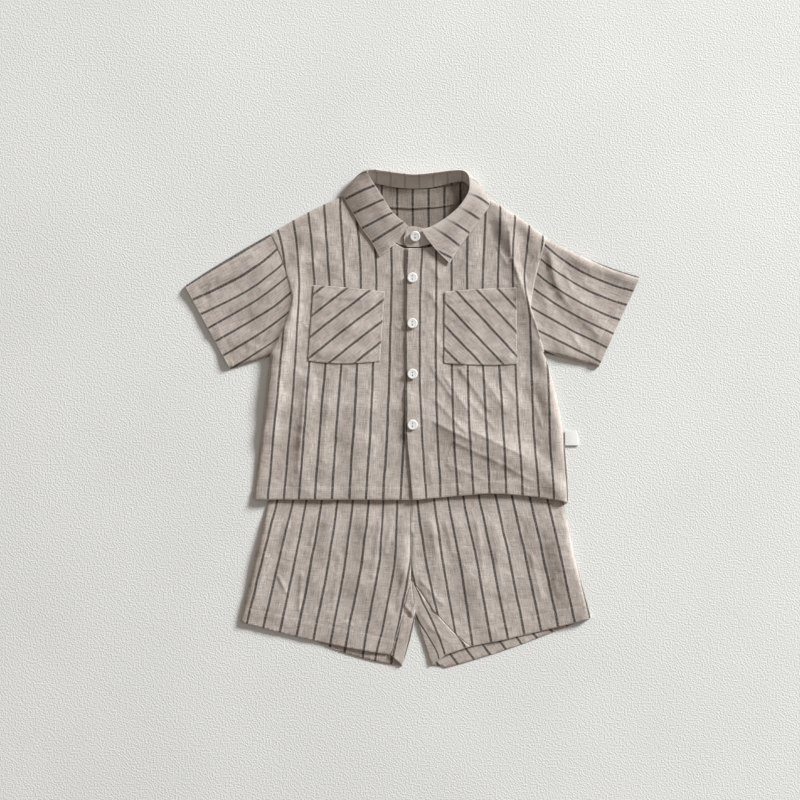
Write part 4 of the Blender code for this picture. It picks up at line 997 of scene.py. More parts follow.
def stretched(tree, vector, across, along):
    return node(tree, "ShaderNodeMapping", {"Vector": vector, "Scale": (across, along, 1.0)}).outputs[0]


def new_material(name, roughness, specular=0.3):
    made = bpy.data.materials.new(name)
    made.use_nodes = True
    shader = made.node_tree.nodes["Principled BSDF"]
    shader.inputs["Roughness"].default_value = roughness
    shader.inputs["Specular IOR Level"].default_value = specular
    return made, made.node_tree, shader


def bump(tree, height, strength, distance=0.0004, **normal):
    inputs = {"Height": height, "Strength": strength, "Distance": distance, **normal}
    return node(tree, "ShaderNodeBump", inputs).outputs[0]


def cloth_material(name, shade=None):
    """Striped linen: slubby threads both ways, dark yarn-dyed stripes with pale flecks, with painted shade
    in its crevices and pale edges that are partly painted highlight.
    """
    made, tree, shader = new_material(name, 0.92, 0.12)
    shader.inputs["Sheen Weight"].default_value = 0.22
    shader.inputs["Sheen Roughness"].default_value = 0.55
    uv = node(tree, "ShaderNodeUVMap", uv_map="cloth").outputs[0]
    in_mm = stretched(tree, uv, PITCH, PITCH)
    times, plus, less = (partial(calc, tree, kind) for kind in ("MULTIPLY", "ADD", "SUBTRACT"))

    def fibres(across, along, detail=3.0, roughness=0.6):
        return noise(tree, stretched(tree, in_mm, across, along), 1.0, detail, roughness)

    across = node(tree, "ShaderNodeSeparateXYZ", {0: uv}).outputs[0]
    ragged = fibres(1.2, 0.9, 3.0, 0.5)
    fraction = calc(tree, "FRACT", plus(across, 100.5))
    from_centre = times(calc(tree, "ABSOLUTE", less(fraction, 0.5)), PITCH)
    from_centre = plus(from_centre, times(less(ragged, 0.5), 0.5))
    stripe = ramp(tree, from_centre, STRIPE_HALF - 0.4, STRIPE_HALF + 0.35, 1.0, 0.0)
    beside = times(
        ramp(tree, from_centre, STRIPE_HALF + 0.2, STRIPE_HALF + 0.7),
        ramp(tree, from_centre, STRIPE_HALF + 0.8, STRIPE_HALF + 1.9, 1.0, 0.0),
    )
    warp_slub, weft_slub = fibres(1.5, 0.07), fibres(0.08, 1.7)
    patch = noise(tree, in_mm, 0.05, 3.0, 0.55)
    speckle = fibres(1.0, 1.0, 2.0)
    tone = calc(tree, "MULTIPLY_ADD", warp_slub, 0.95, times(weft_slub, 0.8))
    tone = plus(tone, times(patch, 0.5))
    tone = plus(tone, times(speckle, 0.45))
    ground = mix(tree, ramp(tree, tone, 1.1, 1.62), CLOTH_DARK, CLOTH_LIGHT)
    ground = mix(tree, times(beside, 0.3), ground, CLOTH_LIGHT)
    fleck = ramp(tree, fibres(1.0, 0.8, 2.0, 0.5), 0.45, 0.68)
    yarn = mix(tree, fleck, STRIPE_DARK, STRIPE_FLECK)
    colour = mix(tree, stripe, ground, yarn)
    # Painted shade: ambient occlusion darkens the colour in crevices, under edges and between layers.
    ao_painted_shade = node(tree, "ShaderNodeAmbientOcclusion", {"Distance": 0.0035}, samples=8).outputs["AO"]
    colour = mix(tree, ramp(tree, ao_painted_shade, 0.3, 0.95, 0.55, 0.0), colour, CREVICE_PAINTED_SHADE)
    # Pale edges and folds: partly wear, partly painted highlight.
    wear_and_highlight = node(tree, "ShaderNodeAttribute", attribute_name="wear_and_highlight").outputs["Fac"]
    colour = mix(tree, ramp(tree, wear_and_highlight, 0.3, 1.0, 0.0, 0.7), colour, EDGE_WEAR_AND_HIGHLIGHT)
    # Painted shade: a darker copy of the cloth for pieces that lie in shade.
    if shade:
        colour = mix(tree, 1.0, colour, shade, "MULTIPLY")
    tree.links.new(colour, shader.inputs["Base Color"])
    turned = node(tree, "ShaderNodeMapping", {"Vector": in_mm, "Rotation": (0, 0, math.pi / 2)}).outputs[0]
    threads = [
        node(tree, "ShaderNodeTexWave", {"Vector": way, "Scale": 0.5, "Distortion": 0.6}).outputs["Fac"]
        for way in (in_mm, turned)
    ]
    weave = calc(tree, "MAXIMUM", *threads)
    slubs = calc(tree, "MULTIPLY_ADD", warp_slub, 1.2, weft_slub)
    height = calc(tree, "MULTIPLY_ADD", weave, 0.5, slubs)
    cells = {"Vector": in_mm, "Scale": 0.085}
    crumple = node(tree, "ShaderNodeTexVoronoi", cells, feature="DISTANCE_TO_EDGE").outputs["Distance"]
    fine = bump(tree, height, 0.7)
    soft = bump(tree, ramp(tree, crumple, 0.0, 0.22), 0.12, 0.0006, Normal=fine)
    tree.links.new(soft, shader.inputs["Normal"])
    return made


def plain_material(name, colour, roughness, specular=0.4, uneven=0.0, scale=900.0):
    """A finish with a slight unevenness of tone and surface."""
    made, tree, shader = new_material(name, roughness, specular)
    place = node(tree, "ShaderNodeTexCoord").outputs["Object"]
    grain = noise(tree, place, scale, 3.0)
    darker = tuple(c * 0.9 for c in colour[:3]) + (1.0,)
    tree.links.new(mix(tree, grain, darker, colour), shader.inputs["Base Color"])
    if uneven:
        tree.links.new(bump(tree, grain, uneven), shader.inputs["Normal"])
    return made


def floor_material():
    """Painted plaster with a fine raised grain."""
    made, tree, shader = new_material("pale_floor", 0.85, 0.25)
    place = node(tree, "ShaderNodeTexCoord").outputs["Object"]
    broad = noise(tree, place, 6.0, 2.0)
    darker = tuple(c * 0.97 for c in FLOOR_COLOUR[:3]) + (1.0,)
    colour = mix(tree, ramp(tree, broad, 0.35, 0.65), darker, FLOOR_COLOUR)
    tree.links.new(colour, shader.inputs["Base Color"])
    grain = noise(tree, place, 540.0, 1.8, 0.5)
    level = calc(tree, "MULTIPLY", grain, 0.5)
    peel = calc(tree, "MULTIPLY_ADD", ramp(tree, grain, 0.4, 0.68), 0.8, level)
    tree.links.new(bump(tree, peel, 0.5), shader.inputs["Normal"])
    return made


stitches = []  # one list of points and faces for each run of stitching


def stitch_run(path, up=(0.0, 0.0, 1.0)):
    """Adds small raised stitches along a path of points in millimetres."""
    path = np.asarray(path, float)
    run = np.concatenate([[0.0], np.cumsum(np.linalg.norm(np.diff(path, axis=0), axis=1))])
    up = np.array(up)
    for start in np.arange(0.5, run[-1] - STITCH_LENGTH, STITCH_LENGTH + STITCH_GAP):
        rings = []
        for share, rise, thin in ((0.0, -0.12, 0.7), (0.5, 0.14, 1.0), (1.0, -0.12, 0.7)):
            place = start + share * STITCH_LENGTH
            centre = np.array([np.interp(place, run, path[:, k]) for k in range(3)])
            rings.append((centre + up * rise, thin))
        along = rings[2][0] - rings[0][0]
        side = np.cross(along, up)
        side /= np.linalg.norm(side)
        points = []
        for centre, thin in rings:
            for k in range(STITCH_SIDES):
                angle = 2 * math.pi * k / STITCH_SIDES
                outward = math.cos(angle) * side + math.sin(angle) * up
                points.append(centre + THREAD_RADIUS * thin * outward)
        stitches.append(points)


def sew(path, height):
    stitch_run(np.column_stack([path, height]))


def stitch_object(finish):
    """Every stitch of the set in one mesh."""
    points = np.array(stitches).reshape(-1, 3)
    faces = []
    for first in range(0, len(points), 3 * STITCH_SIDES):
        for ring in range(2):
            for k in range(STITCH_SIDES):
                j = (k + 1) % STITCH_SIDES
                a = first + ring * STITCH_SIDES
                b = a + STITCH_SIDES
                faces.append((a + k, a + j, b + j, b + k))
        faces.append(tuple(first + k for k in range(STITCH_SIDES)))
        faces.append(tuple(first + 2 * STITCH_SIDES + k for k in range(STITCH_SIDES)))
    piece = make("stitching", points, faces, np.zeros((len(points), 2)), finish)
    dress(piece)


def dress(piece, *nodes, slot="striped_cloth"):
    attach(piece, "root")
    if nodes:
        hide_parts(*nodes)


def panel(name, cad_node, border, flat, triangles, low, high, uv, finish, pale=0.0, rests_on=()):
    """A cut piece made from its outline: its shell, and the node it dresses."""
    piece = slab(name, flat, triangles, low, high, uv, finish, pale)
    dress(piece, *cad_node)


def line_points(start, end, step=2.0):
    count = max(2, round(math.dist(start, end) / step))
    return bowed(start, end, 0.0, np.linspace(0.0, 1.0, count))


def shirt_front(name, edges, pocket, rows, lapped, finish):
    """One front with its chest pocket, which is made from the front's own points."""
    border, closed = outline(SHIRT, edges, FINE)
    loop = pocket_loop(pocket)
    rings = fold_rings(border, closed)
    flat, triangles = triangulate(border, [*rings, np.vstack([loop, loop[:1]])], FINE)
    stretches = closed_stretches(border, closed)

    def heights(points):
        away = distance(points, *stretches)
        return upper_layer(front_full(points, away, lapped), away)

    low, high = heights(flat)
    uv = panel_uv(flat, rows, 31 if lapped else 41)
    panel(f"{name}_cloth", [name], border, flat, triangles, low, high, uv, finish, 0.8, ["shirt_back"])
    middles = flat[triangles].mean(axis=1)
    patch = triangles[inside(middles, loop)]
    rise = pocket_rise(flat, pocket, loop)
    uv = slanted_uv(flat, pocket.pass_x, pocket.pass_y, pocket.slant)
    below, above = high + rise - SHELL * 0.7, high + rise
    panel(f"{pocket.name}_cloth", [pocket.name], loop, flat, patch, below, above, uv, finish, 0.65, [name])
    inner = inset(loop, np.full(len(loop), EDGE_STITCH))
    sewn = np.vstack([inner[len_of_top(pocket):], inner[:1]])
    sew(sewn, heights(sewn)[1] + pocket_rise(sewn, pocket, loop))
    for start, end in hem_lines(lapped):
        path = line_points(start, end)
        sew(path, heights(path)[1])
    return heights


def len_of_top(pocket):
    return round(math.dist(pocket.top_in, pocket.top_out) / FINE)


def pocket_rise(points, pocket, loop):
    """A pocket's height above the front: hemmed at its mouth and pressed down at its edges."""
    away = np.maximum(-signed_distance(points, loop), 0.0)
    from_top = np.abs((points - np.array(pocket.top_in)) @ directions(pocket.top_in, pocket.top_out)[1])
    mouth = MOUTH_RISE * (1.0 - smooth(*MOUTH_FADE, from_top))
    soft = 0.55 * smooth(1.0, 14.0, away) + 0.25 * waves(points, 30, 77) * smooth(2.0, 10.0, away)
    groove = -0.2 * np.exp(-(((away - EDGE_STITCH) / 1.3) ** 2))
    return GAP + SHELL + mouth + soft + groove


def pocket_loop(pocket):
    sides = [
        (pocket.top_in, pocket.top_out, 0.6),
        (pocket.top_out, pocket.low_out, 0.0),
        (pocket.low_out, pocket.low_in, pocket.dip),
        (pocket.low_in, pocket.top_in, 0.0),
    ]
    runs = []
    for start, end, bow in sides:
        fractions = np.linspace(0.0, 1.0, round(math.dist(start, end) / FINE) + 1)
        runs.append(bowed(start, end, bow, fractions)[:-1])
    return np.vstack(runs)


def hem_lines(lapped):
    """The straight stitched lines of a shirt front: its hem, and the lap's inner edge."""
    places = HEM_STITCHES_LEFT if lapped else HEM_STITCHES_RIGHT
    lines = [((a, b + SHIRT_HEM), (c, d + SHIRT_HEM)) for (a, b), (c, d) in places]
    return [*lines, PLACKET_STITCHES] if lapped else lines


def shirt_back(finish):
    border, closed = outline(SHIRT, BACK, HIDDEN_STEP)
    border = inset(border, np.where(closed, ROLL + SEAM, 0.0))
    flat, triangles = triangulate(border, [], HIDDEN_STEP)
    low = shirt_support(flat)
    uv = panel_uv(flat, ROWS_BACK, 51)
    below = ["shorts_front_right", "shorts_front_left"]
    panel("inside_back", ["shirt_back"], border, flat, triangles, low, low + WALL, uv, finish, 0.0, below)


def neck_facing(finish):
    left, right = np.array(SHIRT["back_neck_l"]), np.array(SHIRT["back_neck_r"])
    top = bowed(left, right, -8.6, np.linspace(0.04, 0.96, 44)) - (0.0, 0.6)
    low_edge = bowed(*FACING_SIDES, FACING_DIP, np.linspace(0.0, 1.0, 44))
    border = np.vstack([top, low_edge])
    flat, triangles = triangulate(border, [], FINE)

    def high(points):
        from_top = distance(points, top[:-1], top[1:])
        crease = -0.3 * np.exp(-(((from_top - 5.0) / 1.6) ** 2))
        return shirt_support(points) + LAYER + SHELL + crease + 0.3 * waves(points, 30, 9)

    upper, uv = high(flat), panel_uv(flat, ROWS_BACK, 51)
    facts = (upper - SHELL, upper, uv, finish, 0.0, ["shirt_back"])
    panel("back_neck_facing", ["neck_facing"], border, flat, triangles, *facts)
    sewn = low_edge[2:-2] + (0.0, 1.6)
    sew(sewn, high(sewn))


def armhole_line(edges, names):
    """The armhole's points from the shoulder to the underarm, moved out by the seam's gap."""
    chosen = [edge for edge in edges if edge.start in names and edge.end in names and not edge.closed]
    runs = [edge_points(SHIRT, edge, 1.0) for edge in chosen]
    points = np.vstack([*runs, SHIRT[chosen[-1].end]])
    ahead = np.gradient(points, axis=0)
    side = np.column_stack([ahead[:, 1], -ahead[:, 0]]) / np.hypot(*ahead.T)[:, None]
    points = points + side * SEAM
    if points[0, 1] < points[-1, 1]:
        points = points[::-1]
    run = np.concatenate([[0.0], np.cumsum(np.hypot(*np.diff(points, axis=0).T))])
    near_fold = (1.0 - np.cos(np.linspace(0.0, math.pi, ARMHOLE_POINTS))) / 2.0
    even = np.linspace(0.0, 1.0, ARMHOLE_POINTS)
    wanted = (0.65 * even + 0.35 * near_fold) * run[-1]
    return np.column_stack([np.interp(wanted, run, points[:, k]) for k in range(2)]), wanted / run[-1]


def sleeve(name, side, armhole, across, cuff, seed, front_heights, finish):
    """A flattened tube from the armhole to the cuff. cuff is its upper and lower corner."""
    cuff_line = bowed(cuff[0], cuff[1], 0.0, across)
    stations = np.linspace(0.0, 1.0, SLEEVE_SECTIONS)
    top = bowed(armhole[0], cuff[0], SLEEVE_TOP_BOW[side], stations)
    top_length = np.hypot(*(top[-1] - top[0]))
    low = bowed(armhole[-1], cuff[1], 0.0, stations)
    at_armhole, at_cuff = SLEEVE_STRIPES[side]
    numbers = np.arange(len(at_armhole), dtype=float)
    outer, inner, uv = [], [], []
    cuff_paths = []
    front = np.maximum(front_heights(armhole)[1] - SEAM, LAYER + WALL - DIP)
    for s, top_point, low_point in zip(stations, top, low):
        line = (1 - s) * armhole + s * cuff_line
        line += (1 - across)[:, None] * (top_point - line[0]) + across[:, None] * (low_point - line[-1])
        width = np.hypot(*(line[-1] - line[0]))
        away = np.minimum(across, 1 - across) * width
        to_cuff = (1 - s) * top_length
        full = LAYER + WALL + fold_height(line, SLEEVE_FOLDS) + side_puff(away)
        full = full + CREASE_RISE * fold_height(line, SLEEVE_CREASES) + relief(line, seed)
        full = np.maximum(full, LAYER + WALL - DIP)
        full = full + HEM_STEP * (1 - smooth(CUFF_HEM - 0.8, CUFF_HEM + 1.2, to_cuff))
        full = full - 0.25 * math.exp(-(((to_cuff - CUFF_HEM) / GROOVE_HALF) ** 2))
        full = full + math.exp(-s * ARMHOLE_BLEND) * (front - full)
        turn = np.clip(away / ROLL, 0.0, 1.0)
        upper = ROLL_RIM + (full - ROLL_RIM) * round_turn(turn)
        middle = slice(1, -1)
        bottom = np.column_stack([line[middle][::-1], np.zeros(len(line) - 2)])
        outer.append(np.vstack([np.column_stack([line, upper]), bottom]))
        inward = (line[-1] - line[0]) / width * 1.2
        lifted = np.maximum(upper[middle] - SHELL, SHELL + 0.15)
        first, last = (*(line[0] + inward), 0.75), (*(line[-1] - inward), 0.75)
        bottom = np.column_stack([line[middle][::-1], np.full(len(line) - 2, SHELL)])
        inner.append(np.vstack([first, np.column_stack([line[middle], lifted]), last, bottom]))
        places = (1 - s) * np.array(at_armhole) + s * np.array(at_cuff)
        places += np.array(SLEEVE_SAG[side]) * 4.0 * s * (1.0 - s) * (1.3 - 0.6 * s)
        number = np.interp(across, places, numbers)
        pitch = np.mean(np.diff(places))
        number += np.where(across < places[0], (across - places[0]) / pitch, 0.0)
        number += np.where(across > places[-1], (across - places[-1]) / pitch, 0.0)
        number += wobble(line, seed)
        along = np.full(len(line), s * top_length / PITCH)
        round_number = np.concatenate([number, number[middle][::-1]])
        uv.append(np.column_stack([round_number, np.concatenate([along, along[middle]])]))
        if abs(to_cuff - CUFF_HEM) < top_length / SLEEVE_SECTIONS / 2 + 0.01:
            cuff_paths.append(np.column_stack([line, upper]))
    piece = tube(f"{name}_cloth", np.array(outer), np.array(inner), np.array(uv), finish)
    stitch_run(cuff_paths[0][2:-2])
    dress(piece, name)


def tube(name, outer, inner, uv, finish):
    """A shell between two stacks of rings, open at both ends."""
    rings, size = outer.shape[:2]
    count = rings * size
    points = np.vstack([outer.reshape(-1, 3), inner.reshape(-1, 3)])
    r, k = np.meshgrid(np.arange(rings - 1), np.arange(size), indexing="ij")
    j = (k + 1) % size
    corners = [r * size + k, r * size + j, (r + 1) * size + j, (r + 1) * size + k]
    quads = np.stack(corners, axis=-1).reshape(-1, 4)
    faces = quads.tolist() + (quads[:, ::-1] + count).tolist()
    for ring in (0, rings - 1):
        for a in range(size):
            here, ahead = ring * size + a, ring * size + (a + 1) % size
            faces.append((here, ahead, ahead + count, here + count))
    flat_uv = uv.reshape(-1, 2)
    # The outer ring at both open ends is paler: partly wear, partly painted highlight.
    wear_and_highlight = np.zeros((2, rings, size))
    wear_and_highlight[0, 0] = wear_and_highlight[0, -1] = 0.75
    return make(name, points, faces, np.vstack([flat_uv, flat_uv]), finish, wear_and_highlight.ravel())


def shorts_full(points, away):
    shown = smooth(*SHORTS_SHOWN, points[:, 1])
    puff = fold_height(points, SHORTS_FOLDS) + side_puff(away)
    fine = CREASE_RISE * fold_height(points, SHORTS_CREASES) + relief(points, 61)
    return LAYER + WALL + np.maximum((puff + fine) * shown, -DIP)


def shorts_front(name, edges, rows, hem, finish):
    border, closed = outline(SHORTS, edges, FINE)
    border = inset(border, np.where(closed, 0.0, SEAM / 2))
    rings = fold_rings(border, closed)
    flat, triangles = triangulate(border, rings, FINE)
    stretches = closed_stretches(border, closed)

    def heights(points):
        away = distance(points, *stretches)
        full = shorts_full(points, away) + hem_step(points, *hem, SHORTS_HEM)
        return upper_layer(full, away)

    low, high = heights(flat)
    uv = panel_uv(flat, rows, 71)
    below = [name.replace("front", "back")]
    panel(f"{name}_cloth", [name], border, flat, triangles, low, high, uv, finish, 0.7, below)
    way, up = directions(*hem)
    up = up * SHORTS_HEM
    path = line_points(hem[0] + up + way * 4, hem[1] + up - way * 12)
    path = path[inside(path, border)]
    sew(path, heights(path)[1])


def shorts_back(name, edges, wrap_edges, rows, wrap, finish):
    """A back's lower layer, and the part of it that rolls round the inner leg."""
    border, closed = outline(SHORTS, edges, BACK_STEP)
    border = inset(border, np.where(closed, ROLL + SEAM, SEAM / 2))
    flat, triangles = triangulate(border, [], BACK_STEP)
    high = SHELL + 0.12 * (1 + waves(flat, 40, 3))
    uv = slanted_uv(flat, *BACK_LEFT_STRIPES) if wrap == "left" else panel_uv(flat, rows, 71)
    panel(f"{name}_cloth", [name], border, flat, triangles, np.zeros(len(flat)), high, uv, finish)
    over, _ = outline(SHORTS, wrap_edges, WRAP_STEP)
    over = inset(over, np.full(len(over), SEAM / 2))
    flat, triangles = triangulate(over, [], WRAP_STEP)
    fold_ends = {"fold_hem_r", "crotch_low"} if wrap == "right" else {"fold_hem_l", "crotch_low"}
    fold_edge = next(edge for edge in wrap_edges if {edge.start, edge.end} == fold_ends)
    fold = np.vstack([edge_points(SHORTS, fold_edge, 2.0), SHORTS[fold_edge.end]])
    away = distance(flat, fold[:-1], fold[1:])
    full = LAYER + WALL + 0.8 * smooth(0.0, 14.0, away) + relief(flat, 81, 0.6)
    full = np.maximum(full + fold_height(flat, WRAP_CREASES), 1.9)
    turn = np.clip(away / 2.6, 0.0, 1.0)
    top = ROLL_RIM + (full - ROLL_RIM) * round_turn(turn)
    bottom = np.where(away < 2.0, 0.3 + (top - SHELL - 0.3) * np.clip(away / 2.0, 0, 1), top - SHELL)
    bottom = np.maximum(bottom, 0.2)
    uv = panel_uv(flat, ROWS_WRAP[wrap], 73)
    panel(f"{name}_roll", [], over, flat, triangles, bottom, top, uv, finish, 0.8, [name])


def waistband(finish):
    low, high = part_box("waistband")
    centre = np.array(((low.x + high.x) / 2, (low.y + high.y) / 2)) / MM
    width, height = (high.x - low.x) / MM, (high.y - low.y) / MM
    count = 90
    rings, inner, uv = [], [], []
    for share in np.linspace(0, 1, 12):
        y = centre[1] + height * (share - 0.5)
        ring, within, marks = [], [], []
        for k in range(count):
            angle = 2 * math.pi * k / count
            x = math.copysign(abs(math.cos(angle)) ** 0.5, math.cos(angle)) * width / 2
            z = math.copysign(abs(math.sin(angle)) ** 0.4, math.sin(angle))
            gather = GATHER_DEPTH * math.sin(GATHERS * angle)
            ring.append((centre[0] + x, y, WAIST_MIDDLE + z * (WAIST_THICK / 2 + gather - 0.1)))
            within.append((centre[0] + x * 0.99, y, WAIST_MIDDLE + z * 0.5))
            marks.append((x / PITCH, y / PITCH))
        rings.append(ring)
        inner.append(within)
        uv.append(marks)
    piece = tube("waistband_casing", np.array(rings), np.array(inner), np.array(uv), finish)
    dress(piece, "waistband")


def resample(points, steps):
    """Points on a smooth curve through the rows given, with the rows themselves kept."""
    padded = np.vstack([2 * points[0] - points[1], points, 2 * points[-1] - points[-2]])
    made = []
    for a, b, c, d in zip(padded, padded[1:], padded[2:], padded[3:]):
        for t in np.arange(steps) / steps:
            curve = (2 * a - 5 * b + 4 * c - d) * t**2 + (3 * b - a - 3 * c + d) * t**3
            made.append(0.5 * (2 * b + (c - a) * t + curve))
    return np.vstack([*made, points[-1]])


def collar_columns():
    table = resample(np.array(COLLAR, float), SECTION_STEPS)
    value = dict(zip(Section._fields, table.T))
    columns = {
        part: np.column_stack([value[f"{part}_{axis}"] for axis in "xyz"])
        for part in ("seam", "roll", "out", "edge")
    }
    columns.update(top_z=value["top_z"], su=value["su"], se=value["se"])
    return columns


def collar_leaf(finish):
    """The leaf from its fold, which turns over the stand, to its stitched edge."""
    columns = collar_columns()
    start, middle, end = columns["roll"], columns["out"], columns["edge"]
    pull = 2.0 * middle - (start + end) / 2.0
    inward = columns["seam"] - start
    inward[:, 2] = 0.0
    inward /= np.linalg.norm(inward, axis=1)[:, None]
    grid = [start + inward * LEAF_LIP + (0, 0, -1.6), start + inward * LEAF_LIP * 0.9 + (0, 0, -0.7)]
    shares = [-0.05, -0.03]
    for v in np.linspace(0.0, 1.0, LEAF_ROWS):
        grid.append((1 - v) ** 2 * start + 2 * v * (1 - v) * pull + v**2 * end)
        shares.append(v)
    grid = np.array(grid).transpose(1, 0, 2)
    shares = np.array(shares)
    flat = grid[:, :, :2].reshape(-1, 2)
    bend = 0.25 * waves(flat, 26, 91).reshape(grid.shape[:2])
    bend *= smooth(0.0, 0.3, shares)[None, :]
    grid[:, :, 2] += bend
    grid[:, :, 2] = np.maximum(grid[:, :, 2], SHELL / 2)
    width = np.linalg.norm(end - start, axis=1)
    inside_edge = np.maximum(shares, 0.0)
    number = columns["su"][:, None] * (1 - inside_edge) + columns["se"][:, None] * inside_edge
    number = number + wobble(flat, 95).reshape(number.shape) * 0.6
    along = shares[None, :] * width[:, None] / PITCH
    # Pale rim, partly wear and partly painted highlight; a painted highlight along the fold rows; and on
    # the +x half, which faces the light, a painted highlight that fades from the fold outward.
    wear_and_highlight = np.zeros(number.shape)
    wear_and_highlight[:, -1] = wear_and_highlight[0, :] = wear_and_highlight[-1, :] = 1.0
    wear_and_highlight[:, 1:3] = 0.9
    wear_and_highlight[len(grid) // 2 :, 3:15] = np.linspace(0.9, 0.35, 12)
    piece = grid_wall("collar_fall", grid, np.dstack([number, along]), finish, LEAF_THICK, wear_and_highlight)
    dress(piece, "collar_leaf")
    share = 1.0 - LEAF_STITCH / LEAF_WIDTH
    row = int(round(share * (LEAF_ROWS - 1))) + 2
    lift = np.array((0.0, 0.0, 0.45))
    stitch_run(grid[4:-4, row] + lift)
    for column in (4, -5):
        stitch_run(grid[column, 4 : row + 1] + lift)


def collar_stand(finish):
    columns = collar_columns()
    seam, roll = columns["seam"], columns["roll"].copy()
    roll[:, 2] = columns["top_z"]
    way = roll - seam
    unit = way / np.linalg.norm(way, axis=1)[:, None]
    top = roll - unit * 0.6
    under = resample(np.array(TAB_UNDER, float), SECTION_STEPS)
    over = resample(np.array(TAB_OVER, float), SECTION_STEPS)
    seam = np.vstack([under[:, :3], seam[4:-4], over[:, :3]])
    top = np.vstack([under[:, 3:], top[4:-4], over[:, 3:]])
    across = np.linspace(0.0, 1.0, STAND_ROWS)[None, :, None]
    grid = seam[:, None, :] * (1 - across) + top[:, None, :] * across
    end_x = grid[-1, 0, 0]
    corner = np.clip((end_x + TAB_ROUND - grid[:, :, 0]) / TAB_ROUND, 0.0, 1.0)
    corner *= grid[:, :, 1] < TAB_TOP_Y
    corner[: len(grid) // 2] = 0.0
    middle_y = grid[:, :1, 1] * 0.45 + grid[:, -1:, 1] * 0.55
    grid[:, :, 1] += (middle_y - grid[:, :, 1]) * 0.55 * corner**2
    run = np.concatenate([[0.0], np.cumsum(np.linalg.norm(np.diff(seam, axis=0), axis=1))])
    middle = int(np.argmin(np.abs(seam[:, 0] - STAND_STRIPE_X) + 0.5 * np.abs(seam[:, 1] - STAND_BACK_Y)))
    number = (run - run[middle]) / STAND_PITCH
    number[-len(over) :] += TAB_SHIFT
    along = np.repeat(number[:, None], STAND_ROWS, axis=1)
    uv = np.dstack([along, np.repeat(across[:, :, 0], len(grid), axis=0)])
    # Painted light: the whole stand is lightened towards the pale edge colour to lift its shaded inner
    # face; its top row and tab end are paler still, partly wear and partly painted highlight.
    wear_and_highlight = np.full(number.shape[:1] + (STAND_ROWS,), 0.8)
    wear_and_highlight[:, -1] = wear_and_highlight[-1, :] = 1.0
    piece = grid_wall("collar_band", grid, uv, finish, STAND_THICK, wear_and_highlight)
    dress(piece, "collar_stand")
    lift = np.array((0.0, 0.0, 0.5))
    last = len(over)
    stitch_run(grid[-last + 4 :, -3] + lift)
    stitch_run(grid[-last + 4 :, 1] + lift)


def button(name, x, y, finish, thread):
    """A slightly dished two-hole button, tied down with thread."""
    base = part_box(name)[0].z / MM
    profile = [
        # how far inside the rim, and the height
        (BUTTON_RADIUS, 0.35), (1.1, 0.0), (0.35, 0.25), (0.0, 0.8), (0.1, 1.5), (0.35, 1.95),
        (0.7, BUTTON_THICK), (1.4, 2.08), (1.9, 1.98), (2.6, 1.94), (BUTTON_RADIUS, 1.92),
    ]
    work = bmesh.new()
    points = [work.verts.new(((BUTTON_RADIUS - inward) * MM, 0.0, z * MM)) for inward, z in profile]
    edges = [work.edges.new(pair) for pair in zip(points, points[1:])]
    whole = 2 * math.pi
    bmesh.ops.spin(work, geom=points + edges, cent=(0, 0, 0), axis=(0, 0, 1), angle=whole, steps=64)
    bmesh.ops.remove_doubles(work, verts=work.verts, dist=1e-6)
    bmesh.ops.recalc_face_normals(work, faces=work.faces)
    mesh = bpy.data.meshes.new(f"{name}_disc")
    work.to_mesh(mesh)
    work.free()
    disc = add_object(f"{name}_disc", mesh)
    cutters = []
    for sign in (-1, 1):
        place = (0, sign * BUTTON_HOLE_AT * MM, 0)
        radius = BUTTON_HOLE_RADIUS * MM
        bpy.ops.mesh.primitive_cylinder_add(vertices=24, radius=radius, depth=6 * MM, location=place)
        cutters.append(bpy.context.object)
        cut = disc.modifiers.new("hole", "BOOLEAN")
        cut.operation = "DIFFERENCE"
        cut.object = cutters[-1]
    graph = bpy.context.evaluated_depsgraph_get()
    cut_mesh = bpy.data.meshes.new_from_object(disc.evaluated_get(graph))
    disc.modifiers.clear()
    disc.data = cut_mesh
    for cutter in cutters:
        bpy.data.objects.remove(cutter, do_unlink=True)
    cut_mesh.shade_smooth()
    cut_mesh.set_sharp_from_angle(angle=math.radians(35))
    cut_mesh.materials.clear()
    cut_mesh.materials.append(finish)
    disc.location = (x * MM, y * MM, base * MM)
    if name == "button_1":
        disc.rotation_euler = (math.radians(TOP_BUTTON_TILT), 0.0, 0.0)
    dress(disc, name, slot="button")
    place = np.array((x, y, base + BUTTON_HOLE_FLOOR))
    for offset in (-0.2, 0.2):
        over = BUTTON_HOLE_AT - 0.6
        path = [
            place + (offset, y, z)
            for y, z in ((-BUTTON_HOLE_AT, -0.8), (-over, 0.48), (over, 0.48), (BUTTON_HOLE_AT, -0.8))
        ]
        curve = bpy.data.curves.new(f"{name}_thread", "CURVE")
        curve.dimensions = "3D"
        curve.bevel_depth = BUTTON_THREAD_RADIUS * MM
        curve.bevel_resolution = 2
        curve.use_fill_caps = True
        spline = curve.splines.new("POLY")
        spline.points.add(len(path) - 1)
        for target, source in zip(spline.points, path):
            target.co = (*(source * MM), 1.0)
        curve.materials.append(thread)
        strand = add_object(f"{name}_thread_{'a' if offset < 0 else 'b'}", curve)
        dress(strand, slot="button")


def buttonholes(heights):
    """The worked buttonholes, upright, which show above and below each button."""
    for x, y in BUTTONS[1:]:
        for sign in (-1, 1):
            beside = x + sign * BUTTONHOLE_HALF
            ends = ((beside, y - BUTTONHOLE_LENGTH / 2), (beside, y + BUTTONHOLE_LENGTH / 2))
            path = line_points(*ends, 1.0)
            sew(path, heights(path)[1] + 0.05)


